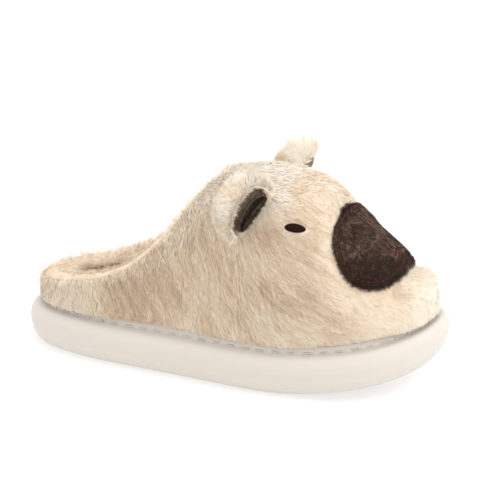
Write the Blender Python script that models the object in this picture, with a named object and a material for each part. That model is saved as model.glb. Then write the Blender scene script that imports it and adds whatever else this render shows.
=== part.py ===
"""Animal slipper for the right foot: a moulded foam sole with a stitched lip, and a hooded plush upper.

Metres, +X to the toe, +Y to the wearer's left, +Z up, with the floor at Z = 0. The upper is a ring of
wall between the sole's lip and the topline. Its outside is one closed last form, worked out from a plan
outline, a side profile and the squareness of its cross-sections, and it is read along rays from a spine.
"""

import math
from functools import partial

import bmesh
import bpy
import numpy as np

# Sole sizes
LENGTH = 0.270
BALL_WIDTH = 0.110
WAIST_WIDTH = 0.094
HEEL_WIDTH = 0.078
TOE_WIDTH = 0.094
SOLE_HEIGHT = 0.024
BULGE_HEIGHT = 0.0145
BULGE_IN_BELOW = 0.009
BULGE_IN_ABOVE = 0.006
TOE_SPRING = 0.0195
SPRING_START = 0.032
FLOOR_HEIGHT = 0.017
LIP_HEIGHT = 0.0045
LIP_THICKNESS = 0.0024
LIP_INSET = 0.0112
GROOVE_DEPTH = 0.0014
GROOVE_WIDTH = 0.0030

# Tread under the sole
TREAD_DEPTH = 0.0016
TREAD_WIDTH = 0.0035
TREAD_PITCH = 0.011
TREAD_MARGIN = 0.024
HEEL_TREADS = 5
FOREFOOT_TREADS = 8
HEEL_TREAD_START = -0.108
FOREFOOT_TREAD_START = 0.002

# Upper sizes
UPPER_RISE = 0.094
BULGE_RISE = 0.011
HEEL_BULGE_RISE = 0.006
UNDER_BULGE = 0.019
SIDE_INSET = 0.0078
TOE_INSET = 0.0075
WALL = 0.0060
SKIRT_WALL = 0.0032
COLLAR_WALL = 0.0085
COLLAR_ROUND = 0.0045
LEDGE_RISE = 0.0010
HEEL_TOP_X = -0.1235
HEEL_TOP_RISE = 0.0145
THROAT_X = -0.0030

# Insole, face and ear sizes
INSOLE_THICKNESS = 0.006
NOSE_WIDTH = 0.076
NOSE_THICKNESS = 0.0022
NOSE_MIDDLE = 0.3296 * LENGTH
EYE_LENGTH = 0.0116
EYE_HEIGHT = 0.0053
EYE_THICKNESS = 0.0012
EYE_X = 0.1963 * LENGTH
EYE_Y = 0.0370
EAR_X = 0.1000 * LENGTH
EAR_Y = 0.0340
EAR_HALF_LENGTH = 0.0170
EAR_HEIGHT = 0.0250
EAR_DEPTH = 0.0125
EAR_WALL = 0.0028
EAR_LINING = 0.0020
EAR_LEAN_RIGHT = -0.15
EAR_LEAN_LEFT = 0.15
EAR_SLOPE = math.radians(66)
EAR_TIP_TURN = math.radians(4)
LINING_END = 0.46 * math.pi
GAP = 0.0003
OVERLAY_GAP = 0.0008

COLUMNS = 64
SKIRT_LEVEL = FLOOR_HEIGHT + GAP

# Plan outline of the sole's widest line, round one side: share of the length from the middle, the width
# that the row follows, and the shares of it on the outer (-Y) and inner (+Y) side of the foot.
OUTLINE = (
    (-0.455, HEEL_WIDTH, 0.315, 0.310),
    (-0.340, HEEL_WIDTH, 0.500, 0.492),
    (-0.090, WAIST_WIDTH, 0.515, 0.470),
    (0.176, BALL_WIDTH, 0.500, 0.482),
    (0.385, TOE_WIDTH, 0.487, 0.508),
    (0.475, TOE_WIDTH, 0.262, 0.300),
)
TOE_TIP_SHIFT = 0.030

# Side profile of the last form: share of the length from the middle, and share of the upper's rise above
# the lip. The rows behind the throat close the form over the foot opening and only shape its sides.
PROFILE = (
    ("heel end", -0.4700, 0.065),
    ("heel back", -0.4660, 0.110),
    ("heel lean", -0.4500, 0.165),
    ("behind heel", -0.4200, 0.230),
    ("over heel", -0.3000, 0.370),
    ("before heel", -0.2040, 0.620),
    ("over waist", -0.1260, 0.800),
    ("behind throat", -0.0500, 0.925),
    ("throat", -0.0050, 0.965),
    ("crown", 0.1000, 1.000),
    ("forehead", 0.1750, 0.972),
    ("brow", 0.2380, 0.885),
    ("nose top", 0.2850, 0.735),
    ("nose middle", 0.3350, 0.572),
    ("nose foot", 0.3800, 0.430),
    ("snout tip", 0.4000, 0.358),
    ("lip fold", 0.4130, 0.304),
    ("chin top", 0.4320, 0.286),
    ("chin round", 0.4540, 0.226),
    ("chin front", 0.4690, 0.160),
    ("chin end", 0.4722, 0.117),
)

# How square the cross-sections are: share of the length from the middle, and the power of the curve.
SQUARENESS = (
    (-0.50, 2.4),
    (-0.10, 2.6),
    (0.06, 3.0),
    (0.19, 2.9),
    (0.25, 2.3),
    (0.32, 1.7),
    (0.39, 1.7),
    (0.43, 2.2),
    (0.50, 2.2),
)

# Topline from heel to throat: share of the length from the middle, and share of the upper's rise.
TOPLINE = (
    (-0.420, 0.166),
    (-0.300, 0.240),
    (-0.204, 0.360),
    (-0.126, 0.565),
    (-0.078, 0.745),
    (-0.045, 0.870),
)


# Plan outline of the nose from its middle: degrees from the toe direction, and share of its width.
NOSE_OUTLINE = (
    (0, 0.280),
    (29, 0.320),
    (53, 0.386),
    (67, 0.420),
    (79, 0.440),
    (92, 0.456),
    (101, 0.476),
    (109, 0.488),
    (116, 0.484),
    (121, 0.462),
    (127, 0.415),
    (134, 0.355),
    (149, 0.276),
    (180, 0.218),
)


def curve_through(points, count, closed=False):
    """Evenly spaced points on a smooth curve: cubic pieces whose slopes come from the neighbours."""
    points = np.asarray(points, float)
    if closed:
        points = np.vstack([points[-2:], points, points[:3]])
    steps = np.sqrt(np.linalg.norm(np.diff(points, axis=0), axis=1))
    at = np.concatenate([[0.0], np.cumsum(steps)])
    chords = np.diff(points, axis=0) / steps[:, None]
    weight = (steps[1:] / (steps[:-1] + steps[1:]))[:, None]
    slopes = np.vstack([chords[:1], chords[:-1] * weight + chords[1:] * (1 - weight), chords[-1:]])
    first, last = (2, len(points) - 3) if closed else (0, len(points) - 1)
    fine = np.linspace(at[first], at[last], 60 * (last - first) + 1)
    k = np.clip(np.searchsorted(at, fine, side="right") - 1, first, last - 1)
    h = steps[k][:, None]
    t = ((fine - at[k]) / steps[k])[:, None]
    found = (
        (2 * t**3 - 3 * t**2 + 1) * points[k]
        + (t**3 - 2 * t**2 + t) * h * slopes[k]
        + (3 * t**2 - 2 * t**3) * points[k + 1]
        + (t**3 - t**2) * h * slopes[k + 1]
    )
    run = np.concatenate([[0.0], np.cumsum(np.linalg.norm(np.diff(found, axis=0), axis=1))])
    want = np.linspace(0.0, run[-1], count + 1 if closed else count)
    if closed:
        want = want[:-1]
    return np.stack([np.interp(want, run, found[:, i]) for i in range(points.shape[1])], 1)


def outline_side(side):
    """The sole's widest line from heel to toe on one side, -1 for the outer and 1 for the inner side."""
    column = 2 if side < 0 else 3
    return [(row[0] * LENGTH, side * row[1] * row[column]) for row in OUTLINE]


def sole_outline(count):
    """The closed plan outline, from the heel back along the outer side to the toe and back."""
    heel = [(-LENGTH / 2, 0.0)]
    toe = [(LENGTH / 2, TOE_TIP_SHIFT * TOE_WIDTH)]
    fine = curve_through(heel + outline_side(-1) + toe + outline_side(1)[::-1], 720, closed=True)
    split = int(np.argmax(fine[:, 0]))
    outer, inner = fine[: split + 1], np.vstack([fine[split:], fine[:1]])[::-1]
    half = count // 2
    return np.vstack([evenly(outer, half + 1), evenly(inner, half + 1)[-2:0:-1]])


def evenly(points, count):
    """The same line with its points evenly spaced."""
    run = np.concatenate([[0.0], np.cumsum(np.linalg.norm(np.diff(points, axis=0), axis=1))])
    want = np.linspace(0.0, run[-1], count)
    return np.stack([np.interp(want, run, points[:, i]) for i in range(points.shape[1])], 1)


def inset_outline(outline, distance):
    """The outline moved inwards by a distance, or by one distance for each point."""
    along = np.roll(outline, -1, 0) - np.roll(outline, 1, 0)
    along /= np.linalg.norm(along, axis=1)[:, None]
    inward = np.stack([-along[:, 1], along[:, 0]], 1)
    return outline + inward * np.reshape(distance, (-1, 1))


def spring(x):
    """How far the toe end of the sole is lifted at a station."""
    share = np.clip((x - SPRING_START) / (LENGTH / 2 - SPRING_START), 0.0, 1.0)
    return TOE_SPRING * share**2


def ring(outline, inset, height):
    """A ring of points at an inset from the outline and a height over the sprung sole."""
    flat = inset_outline(outline, inset)
    return np.column_stack([flat, height + spring(flat[:, 0])])


def lip_top(x):
    """Height of the lip's top edge."""
    return SOLE_HEIGHT + LIP_HEIGHT + spring(x)


def bulge_rise(x):
    """Rise above the lip at which the upper is widest: less at the low heel."""
    return np.interp(x / LENGTH, (-0.45, -0.15), (HEEL_BULGE_RISE, BULGE_RISE))


def bulge_level(x):
    return lip_top(x) + bulge_rise(x)


FINE_OUTLINE = sole_outline(360)
TOE_SHARE = np.clip(FINE_OUTLINE[:, 0] / (LENGTH / 2), 0.0, 1.0) ** 2
BODY_OUTLINE = inset_outline(FINE_OUTLINE, SIDE_INSET + (TOE_INSET - SIDE_INSET) * TOE_SHARE)
SIDE_VIEW = curve_through([(x * LENGTH, rise * UPPER_RISE) for _, x, rise in PROFILE], 400)


def half_width(x):
    """Half-width of the last form at a station: the middle of the sole's two sides."""
    turn = int(np.argmax(BODY_OUTLINE[:, 0]))
    outer = BODY_OUTLINE[: turn + 1]
    inner = np.vstack([BODY_OUTLINE[turn:], BODY_OUTLINE[:1]])[::-1]
    one = np.interp(x, outer[:, 0], -outer[:, 1], left=0.0, right=0.0)
    other = np.interp(x, inner[:, 0], inner[:, 1], left=0.0, right=0.0)
    return np.maximum((one + other) / 2, 1e-6)


def crown_rise(x):
    """Rise of the side profile above the lip, from the level of the bulge."""
    ends = SIDE_VIEW[0, 0], SIDE_VIEW[-1, 0]
    rise = np.interp(x, SIDE_VIEW[:, 0], SIDE_VIEW[:, 1])
    inside = (x > ends[0]) & (x < ends[1])
    return np.where(inside, np.maximum(rise - bulge_rise(x), 1e-6), 1e-6)


def squareness(x):
    return np.interp(x / LENGTH, [row[0] for row in SQUARENESS], [row[1] for row in SQUARENESS])


def fullness(points):
    """Under 1 inside the last form and over 1 outside: each cross-section is a superellipse."""
    x, y, z = points[..., 0], points[..., 1], points[..., 2]
    power = squareness(x)
    up = z - bulge_level(x)
    tall = np.where(up > 0, crown_rise(x), UNDER_BULGE)
    return (np.abs(y) / half_width(x)) ** power + (np.abs(up) / tall) ** power


def reach(start, way):
    """Distance along each ray from inside the last form to its surface, by halving."""
    near = np.zeros(way.shape[:-1])
    far = np.full(way.shape[:-1], LENGTH)
    for _ in range(34):
        middle = (near + far) / 2
        inside = fullness(start + way * middle[..., None]) < 1
        near = np.where(inside, middle, near)
        far = np.where(inside, far, middle)
    return (near + far) / 2


def unit(vectors):
    return vectors / np.linalg.norm(vectors, axis=-1, keepdims=True)


def surface_normals(points):
    """Outward normals of the last form, from the slope of its fullness."""
    step = 1e-4
    slope = [fullness(points + d) - fullness(points - d) for d in np.eye(3) * step]
    return unit(np.stack(slope, -1))


def on_body(points):
    """The points moved onto the last form, along rays from its spine."""
    start = np.array(points, float)
    start[..., 0] = np.clip(start[..., 0], -0.40 * LENGTH, 0.33 * LENGTH)
    start[..., 1] = 0.0
    start[..., 2] = bulge_level(start[..., 0])
    way = unit(points - start)
    return start + way * reach(start, way)[..., None]


def topline(count):
    """Topline points, from the heel along the outer side to the throat and back, on the last form."""
    sides = []
    for sign in (-1, 1):
        x, rise = np.array(TOPLINE).T * [[LENGTH], [UPPER_RISE]]
        level = np.clip(rise - bulge_rise(x), 0, None)
        room = np.clip(1 - (level / crown_rise(x)) ** squareness(x), 0, 1)
        y = sign * half_width(x) * room ** (1 / squareness(x))
        sides.append(np.column_stack([x, y, lip_top(x) + rise]))
    heel = [[HEEL_TOP_X, 0.0, lip_top(HEEL_TOP_X) + HEEL_TOP_RISE]]
    throat = [[THROAT_X, 0.0, bulge_level(THROAT_X) + crown_rise(THROAT_X)]]
    fine = curve_through(np.vstack([heel, sides[0], throat, sides[1][::-1]]), 720, closed=True)
    split = int(np.argmax(fine[:, 0]))
    outer, inner = fine[: split + 1], np.vstack([fine[split:], fine[:1]])[::-1]
    return on_body(np.vstack([evenly(outer, count // 2 + 1), evenly(inner, count // 2 + 1)[-2:0:-1]]))


def sweep(count_columns, shares):
    """Outside of the upper: columns round the foot and rows from the lip (0) to the topline (1)."""
    outline = sole_outline(count_columns)
    foot = ring(outline, LIP_INSET + 0.0002, SOLE_HEIGHT + LIP_HEIGHT + LEDGE_RISE)
    top = topline(count_columns)
    start = (foot + top) / 2
    start[:, 0] = np.clip(start[:, 0] * 0.9, -0.34 * LENGTH, 0.25 * LENGTH)
    start[:, 1] = 0.0
    start[:, 2] = bulge_level(start[:, 0])
    low, high = unit(foot - start), unit(top - start)
    angle = np.arccos(np.clip((low * high).sum(1), -1, 1))[None, :, None]
    share = np.asarray(shares)[:, None, None]
    way = unit(np.sin((1 - share) * angle) * low + np.sin(share * angle) * high)
    start = np.broadcast_to(start, way.shape)
    return start, way, start + way * reach(start, way)[..., None]


def grid_faces(rows, columns, close_rows):
    """Quads of a grid that is closed round its columns, and round its rows too if asked."""
    last = rows if close_rows else rows - 1
    i, j = np.meshgrid(np.arange(last), np.arange(columns), indexing="ij")
    up, on = (i + 1) % rows, (j + 1) % columns
    return np.stack([i * columns + j, i * columns + on, up * columns + on, up * columns + j], -1)


def ladder(first, columns, downward):
    """Quads across a ring from one side to the other, so that the floor bends with the toe spring."""
    faces = []
    half = columns // 2
    for j in range(half):
        a, b = first + j, first + j + 1
        c, d = first + (columns - j - 1) % columns, first + (columns - j) % columns
        corners = [v for k, v in enumerate((a, b, c, d)) if v not in (a, b, c, d)[:k]]
        faces.append(corners if downward else corners[::-1])
    return faces


def make_object(name, points, faces, material):
    """A closed mesh object, its faces turned outwards and shaded smooth."""
    mesh = bpy.data.meshes.new(name)
    mesh.from_pydata([tuple(p) for p in points], [], [tuple(int(v) for v in f) for f in faces])
    work = bmesh.new()
    work.from_mesh(mesh)
    bmesh.ops.recalc_face_normals(work, faces=work.faces)
    work.to_mesh(mesh)
    work.free()
    mesh.materials.append(material)
    mesh.shade_smooth()
    mesh.set_sharp_from_angle(angle=math.radians(50))
    obj = bpy.data.objects.new(name, mesh)
    bpy.context.scene.collection.objects.link(obj)
    return obj


def make_material(name, colour, roughness):
    material = bpy.data.materials.new(name)
    material.use_nodes = True
    shader = material.node_tree.nodes["Principled BSDF"]
    shader.inputs["Base Color"].default_value = (*colour, 1.0)
    shader.inputs["Roughness"].default_value = roughness
    shader.inputs["Metallic"].default_value = 0.0
    return material


def sole_section():
    """Insets and heights of the sole's rings, from the tread edge out, up and over into the cup."""
    rows = []
    for turn in np.radians((0, 18, 38, 62, 90)):
        rows.append((BULGE_IN_BELOW * (1 - math.sin(turn)), BULGE_HEIGHT * (1 - math.cos(turn))))
    for turn in np.radians((28, 52, 74, 90)):
        rise = (SOLE_HEIGHT - BULGE_HEIGHT) * math.sin(turn)
        rows.append((BULGE_IN_ABOVE * (1 - math.cos(turn)), BULGE_HEIGHT + rise))
    lip = SOLE_HEIGHT + LIP_HEIGHT
    rows += [
        (LIP_INSET - GROOVE_WIDTH, SOLE_HEIGHT - 0.2 * GROOVE_DEPTH),
        (LIP_INSET - 0.3 * GROOVE_WIDTH, SOLE_HEIGHT - GROOVE_DEPTH),
        (LIP_INSET, SOLE_HEIGHT - 0.3 * GROOVE_DEPTH),
        (LIP_INSET, lip - 0.3 * LIP_THICKNESS),
        (LIP_INSET + 0.3 * LIP_THICKNESS, lip),
        (LIP_INSET + 0.7 * LIP_THICKNESS, lip),
        (LIP_INSET + LIP_THICKNESS, lip - 0.3 * LIP_THICKNESS),
        (LIP_INSET + LIP_THICKNESS, FLOOR_HEIGHT),
    ]
    return rows


def tread_cutter(x, name):
    """A bar that cuts one cross groove, its ends held in from the sole's edge."""
    edge = np.interp(x, *sorted_half(-1)), np.interp(x, *sorted_half(1))
    low, high = -(edge[0] - TREAD_MARGIN), edge[1] - TREAD_MARGIN
    tilt = math.atan2(spring(x + TREAD_WIDTH) - spring(x - TREAD_WIDTH), 2 * TREAD_WIDTH)
    depth = TREAD_DEPTH
    corners = []
    for along, up in ((-1, -1), (1, -1), (0.7, 1), (-0.7, 1)):
        dx, dz = along * TREAD_WIDTH / 2, depth * up if up > 0 else -0.004
        corners.append((x + dx * math.cos(tilt) - dz * math.sin(tilt), spring(x) + dx * math.sin(tilt) + dz * math.cos(tilt)))
    points = [(cx, low, cz) for cx, cz in corners] + [(cx, high, cz) for cx, cz in corners]
    faces = [(0, 1, 2, 3), (7, 6, 5, 4), (0, 4, 5, 1), (1, 5, 6, 2), (2, 6, 7, 3), (3, 7, 4, 0)]
    cutter = make_object(name, points, faces, SOLE_FOAM)
    cutter.hide_render = True
    cutter.display_type = "WIRE"
    return cutter


def sorted_half(side):
    """Stations and half-widths of one side of the sole, for reading its width."""
    turn = int(np.argmax(FINE_OUTLINE[:, 0]))
    if side < 0:
        part = FINE_OUTLINE[: turn + 1]
    else:
        part = np.vstack([FINE_OUTLINE[turn:], FINE_OUTLINE[:1]])[::-1]
    return part[:, 0], np.abs(part[:, 1])


def make_sole():
    """The moulded sole: a round-edged foam block with a cup inside a thin stitched lip."""
    outline = sole_outline(COLUMNS)
    rings = [ring(outline, inset, height) for inset, height in sole_section()]
    faces = [list(f) for f in grid_faces(len(rings), COLUMNS, False).reshape(-1, 4)]
    faces += ladder(0, COLUMNS, True)
    faces += ladder((len(rings) - 1) * COLUMNS, COLUMNS, False)
    sole = make_object("sole", np.vstack(rings), faces, SOLE_FOAM)
    starts = [HEEL_TREAD_START + TREAD_PITCH * k for k in range(HEEL_TREADS)]
    starts += [FOREFOOT_TREAD_START + TREAD_PITCH * k for k in range(FOREFOOT_TREADS)]
    for k, x in enumerate(starts):
        cut = sole.modifiers.new(f"tread {k}", "BOOLEAN")
        cut.operation = "DIFFERENCE"
        cut.solver = "EXACT"
        cut.object = tread_cutter(x, f"tread_cutter_{k}")
    return sole


def make_insole():
    """The plush insole: fills the cup inside the upper's skirt, a little higher round its edge."""
    outline = sole_outline(COLUMNS)
    edge = LIP_INSET + LIP_THICKNESS + GAP + SKIRT_WALL + GAP
    low, high = FLOOR_HEIGHT + GAP, FLOOR_HEIGHT + GAP + INSOLE_THICKNESS
    rows = [
        (edge + 0.17 * INSOLE_THICKNESS, low),
        (edge, low + 0.2 * INSOLE_THICKNESS),
        (edge, high - 0.25 * INSOLE_THICKNESS),
        (edge + 0.0015, high),
        (edge + 0.012, high - 0.0012),
    ]
    rings = [ring(outline, inset, height) for inset, height in rows]
    faces = [list(f) for f in grid_faces(len(rings), COLUMNS, False).reshape(-1, 4)]
    faces += ladder(0, COLUMNS, True)
    faces += ladder((len(rings) - 1) * COLUMNS, COLUMNS, False)
    return make_object("insole", np.vstack(rings), faces, LINING_PLUSH)


def make_upper():
    """The plush upper: one wall, from the skirt in the cup, over the last form, round the collar and back."""
    outline = sole_outline(COLUMNS)
    skirt = LIP_INSET + LIP_THICKNESS + GAP
    top_level = SOLE_HEIGHT + LIP_HEIGHT
    rows = [
        ring(outline, skirt, SKIRT_LEVEL),
        ring(outline, skirt, top_level + GAP),
        ring(outline, LIP_INSET + 0.3 * LIP_THICKNESS, top_level + 2 * GAP),
    ]
    outer_shares = np.linspace(0, 1, 27) ** 1.12
    start, way, outer = sweep(COLUMNS, outer_shares)
    rows += list(outer)
    lean = np.clip((way * surface_normals(outer)).sum(-1), 0.6, 1.0)
    thickness = WALL + (COLLAR_WALL - WALL) * np.clip((outer_shares - 0.7) / 0.3, 0, 1)[:, None] ** 2
    inner = outer - way * (thickness / lean)[..., None]
    along = unit(outer[-1] - outer[-2])
    middle, half = (outer[-1] + inner[-1]) / 2, (outer[-1] - inner[-1]) / 2
    for turn in np.radians((30, 65, 90, 115, 150)):
        rows.append(middle + half * math.cos(turn) + along * COLLAR_ROUND * math.sin(turn))
    rows += list(inner[26:4:-2]) + [inner[2]]
    rows += [
        ring(outline, skirt + SKIRT_WALL, top_level - 0.001),
        ring(outline, skirt + SKIRT_WALL, SKIRT_LEVEL),
    ]
    faces = grid_faces(len(rows), COLUMNS, True).reshape(-1, 4)
    return make_object("upper", np.vstack(rows), faces, FUR_PLUSH)


def tangent_map(middle, across, along, p, q, height):
    """Places p across, q along and a height over the last form, round a point of its surface."""
    flat = middle + p[..., None] * across + q[..., None] * along
    base = on_body(flat)
    return base + surface_normals(base) * (OVERLAY_GAP + height)[..., None]


def frame_at(x, y, tilt):
    """A surface point and two directions on it: one turned up from the toe direction by tilt, one across."""
    power = squareness(x)
    room = 1 - (abs(y) / half_width(x)) ** power
    point = np.array([x, y, bulge_level(x) + crown_rise(x) * room ** (1 / power)], float)
    normal = surface_normals(point)
    rise = np.array([math.cos(tilt), 0.0, math.sin(tilt)])
    rise = unit(rise - normal * (rise @ normal))
    return point, rise, np.cross(rise, normal)


def shell(front, back):
    """Points and faces of a closed sheet between two grids that share their outline order."""
    rows, columns = front.shape[:2]
    points = np.vstack([front.reshape(-1, 3), back.reshape(-1, 3)])
    size = rows * columns
    faces = []
    for i in range(rows - 1):
        for j in range(columns - 1):
            a = i * columns + j
            quad = (a, a + 1, a + columns + 1, a + columns)
            faces.append(quad)
            faces.append(tuple(size + v for v in quad[::-1]))
    rim = [j for j in range(columns)]
    rim += [i * columns + columns - 1 for i in range(1, rows)]
    rim += [(rows - 1) * columns + j for j in range(columns - 2, -1, -1)]
    rim += [i * columns for i in range(rows - 2, 0, -1)]
    for k, a in enumerate(rim):
        b = rim[(k + 1) % len(rim)]
        faces.append((b, a, size + a, size + b))
    return points, faces


def plan_map(p, q, height):
    """Places a point and a height over the last form from its plan position in front of the nose middle."""
    x, y = NOSE_MIDDLE + p, q
    room = np.clip(1 - (np.abs(y) / half_width(x)) ** squareness(x), 0, 1)
    base = np.stack([x, y, bulge_level(x) + crown_rise(x) * room ** (1 / squareness(x))], -1)
    return base + surface_normals(base) * (OVERLAY_GAP + height)[..., None]


def pad(place, p, q, thickness, rings):
    """A domed pad with a given outline, closed by a plate along the surface under it."""
    columns = len(p)
    share = np.sin(np.linspace(math.pi / 2, 0, rings, endpoint=False))[:, None]
    height = thickness * (1 - share**4) ** 0.5 + 0.25 * thickness * np.sqrt(1 - share**2)
    height = np.broadcast_to(height, (rings, columns))
    zero = np.zeros(1)
    top = place(p * share, q * share, height + 0.0004)
    under = place(p * share, q * share, np.zeros((rings, columns)))
    peak, foot = place(zero, zero, zero + 1.25 * thickness + 0.0004), place(zero, zero, zero)
    points = np.vstack([top.reshape(-1, 3), under.reshape(-1, 3), peak, foot])
    size = rings * columns
    faces = []
    for j in range(columns):
        on = (j + 1) % columns
        for i in range(rings - 1):
            a, b, c, d = i * columns + j, i * columns + on, (i + 1) * columns + on, (i + 1) * columns + j
            faces += [(a, b, c, d), (size + d, size + c, size + b, size + a)]
        last = (rings - 1) * columns
        faces.append((last + j, last + on, 2 * size))
        faces.append((size + last + on, size + last + j, 2 * size + 1))
        faces.append((on, j, size + j, size + on))
    return points, faces


def make_nose():
    """The nose: one thin stuffed patch over the muzzle's slope."""
    turn = np.linspace(-180, 180, 36, endpoint=False)
    half = curve_through([(math.radians(a), share) for a, share in NOSE_OUTLINE], 200)
    radius = NOSE_WIDTH * np.interp(np.radians(np.abs(turn)), half[:, 0], half[:, 1])
    p, q = radius * np.cos(np.radians(turn)), radius * np.sin(np.radians(turn))
    points, faces = pad(plan_map, p, q, NOSE_THICKNESS, 5)
    return make_object("nose", points, faces, NOSE_PLUSH)


def make_eye(side, name):
    """A flat embroidered oval on the side of the head."""
    middle, along, across = frame_at(EYE_X, side * EYE_Y, 0.0)
    turn = np.linspace(0, 2 * math.pi, 18, endpoint=False)
    p, q = EYE_LENGTH / 2 * np.cos(turn), EYE_HEIGHT / 2 * np.sin(turn)
    place = partial(tangent_map, middle, along, across)
    points, faces = pad(place, p, q, EYE_THICKNESS, 3)
    return make_object(name, points, faces, EYE_THREAD)


def ear_hood(middle, long_way, facing, lean, turn, back, inner):
    """A quarter-round hood: turn runs along its rim from tip to tip, back runs from the rim to its rear."""
    half_length = EAR_HALF_LENGTH - inner
    p = -half_length * np.cos(turn)
    tall = (EAR_HEIGHT - inner) * np.sin(turn) * np.cos(back)
    q = -(EAR_DEPTH - inner) * np.sin(turn) * np.sin(back) + lean * tall
    return tangent_map(middle, long_way, facing, p, q, tall)


def make_ear(side, name):
    """An ear in two pieces: the fur hood, and the lining inside it."""
    middle, long_way, facing = frame_at(EAR_X, side * EAR_Y, EAR_SLOPE)
    if facing[0] < 0:
        facing = -facing
    lean = EAR_LEAN_RIGHT if side < 0 else EAR_LEAN_LEFT
    turn, back = np.meshgrid(np.linspace(EAR_TIP_TURN, math.pi - EAR_TIP_TURN, 13), np.linspace(0, math.pi / 2, 7))
    outside = ear_hood(middle, long_way, facing, lean, turn, back, 0.0)
    inside = ear_hood(middle, long_way, facing, lean, turn, back, EAR_WALL)
    points, faces = shell(outside, inside)
    make_object(name + "_hood", points, faces, EAR_FUR)
    clear = EAR_WALL + 2 * GAP
    turn, back = np.meshgrid(np.linspace(2 * EAR_TIP_TURN, math.pi - 2 * EAR_TIP_TURN, 13), np.linspace(0, LINING_END, 7))
    outside = ear_hood(middle, long_way, facing, lean, turn, back, clear)
    inside = ear_hood(middle, long_way, facing, lean, turn, back, clear + EAR_LINING)
    points, faces = shell(outside, inside)
    make_object(name + "_lining", points, faces, NOSE_PLUSH)


def clear_scene():
    for obj in list(bpy.data.objects):
        bpy.data.objects.remove(obj)


clear_scene()
SOLE_FOAM = make_material("sole foam", (0.86, 0.82, 0.76), 0.45)
FUR_PLUSH = make_material("fur plush", (0.72, 0.57, 0.42), 0.95)
LINING_PLUSH = make_material("lining plush", (0.74, 0.60, 0.45), 0.95)
EAR_FUR = make_material("ear fur", (0.82, 0.72, 0.60), 0.95)
NOSE_PLUSH = make_material("nose plush", (0.055, 0.032, 0.024), 0.9)
EYE_THREAD = make_material("eye thread", (0.022, 0.009, 0.008), 0.5)
make_sole()
make_insole()
make_upper()
make_nose()
for ear_side, ear_name in ((-1, "ear_right"), (1, "ear_left")):
    make_ear(ear_side, ear_name)
for eye_side, eye_name in ((-1, "eye_right"), (1, "eye_left")):
    make_eye(eye_side, eye_name)
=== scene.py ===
# %% [markdown]
# # A plush animal slipper
# A right slipper with a fur upper, round ears, a dark nose patch and a thick foam sole.
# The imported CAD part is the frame. This script adds the looks: fine surfaces read from the same
# size tables, fur made of short tapered blades, seams, stitches, materials, light and a camera.
#
# What to change first: the tables under "Sizes" for the shape, `FUR` for the pile, `TONES` for
# where the fur is paler or darker, and `COLOURS` for every colour.

import math

import bpy
import numpy as np
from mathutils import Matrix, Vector


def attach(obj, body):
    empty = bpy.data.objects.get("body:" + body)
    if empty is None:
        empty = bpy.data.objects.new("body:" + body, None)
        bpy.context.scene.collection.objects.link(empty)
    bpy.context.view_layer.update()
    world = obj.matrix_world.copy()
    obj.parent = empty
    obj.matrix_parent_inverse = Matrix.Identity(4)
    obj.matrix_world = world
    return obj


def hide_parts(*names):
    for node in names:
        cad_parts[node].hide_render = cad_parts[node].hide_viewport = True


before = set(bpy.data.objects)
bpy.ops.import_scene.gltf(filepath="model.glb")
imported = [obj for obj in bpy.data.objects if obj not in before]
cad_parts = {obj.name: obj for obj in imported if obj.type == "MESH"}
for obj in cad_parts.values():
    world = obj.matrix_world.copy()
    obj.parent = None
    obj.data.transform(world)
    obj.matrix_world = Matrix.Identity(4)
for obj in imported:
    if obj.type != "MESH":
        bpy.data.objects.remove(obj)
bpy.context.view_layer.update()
print("CAD nodes:", ", ".join(sorted(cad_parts)))

# %% [markdown]
# ## Sizes
# A real slipper is cut and moulded from a few measures: the length, the widths at ball, waist and
# heel, and the heights of sole and upper. They could be measured from the CAD meshes, but a table is
# exact and easy to change. These are the sizes that the CAD part was built from, so each fine surface
# below lies where its solid lies. They are metres, or shares of the length or width beside them.

# %% Sole sizes
LENGTH = 0.270
BALL_WIDTH = 0.110
WAIST_WIDTH = 0.094
HEEL_WIDTH = 0.078
TOE_WIDTH = 0.094
SOLE_HEIGHT = 0.024
BULGE_HEIGHT = 0.0145
BULGE_IN_BELOW = 0.009
BULGE_IN_ABOVE = 0.006
TOE_SPRING = 0.0195
SPRING_START = 0.032
FLOOR_HEIGHT = 0.017
LIP_HEIGHT = 0.0045
LIP_THICKNESS = 0.0024
LIP_INSET = 0.0112
print("sole:", round(LENGTH * 1000), "mm long,", round(BALL_WIDTH * 1000), "mm wide at the ball")

# %% Tread sizes
TREAD_DEPTH = 0.0016
TREAD_WIDTH = 0.0035
TREAD_PITCH = 0.011
TREAD_MARGIN = 0.024
HEEL_TREADS = 5
FOREFOOT_TREADS = 8
HEEL_TREAD_START = -0.108
FOREFOOT_TREAD_START = 0.002
print("tread grooves:", HEEL_TREADS + FOREFOOT_TREADS)

# %% Upper sizes
UPPER_RISE = 0.094
BULGE_RISE = 0.011
HEEL_BULGE_RISE = 0.006
UNDER_BULGE = 0.019
SIDE_INSET = 0.0078
TOE_INSET = 0.0075
WALL = 0.0060
SKIRT_WALL = 0.0032
COLLAR_WALL = 0.0085
COLLAR_ROUND = 0.0045
LEDGE_RISE = 0.0010
HEEL_TOP_X = -0.1235
HEEL_TOP_RISE = 0.0145
THROAT_X = -0.0030
print("upper:", round(UPPER_RISE * 1000), "mm above the lip, wall", round(WALL * 1000, 1), "mm")

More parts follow.
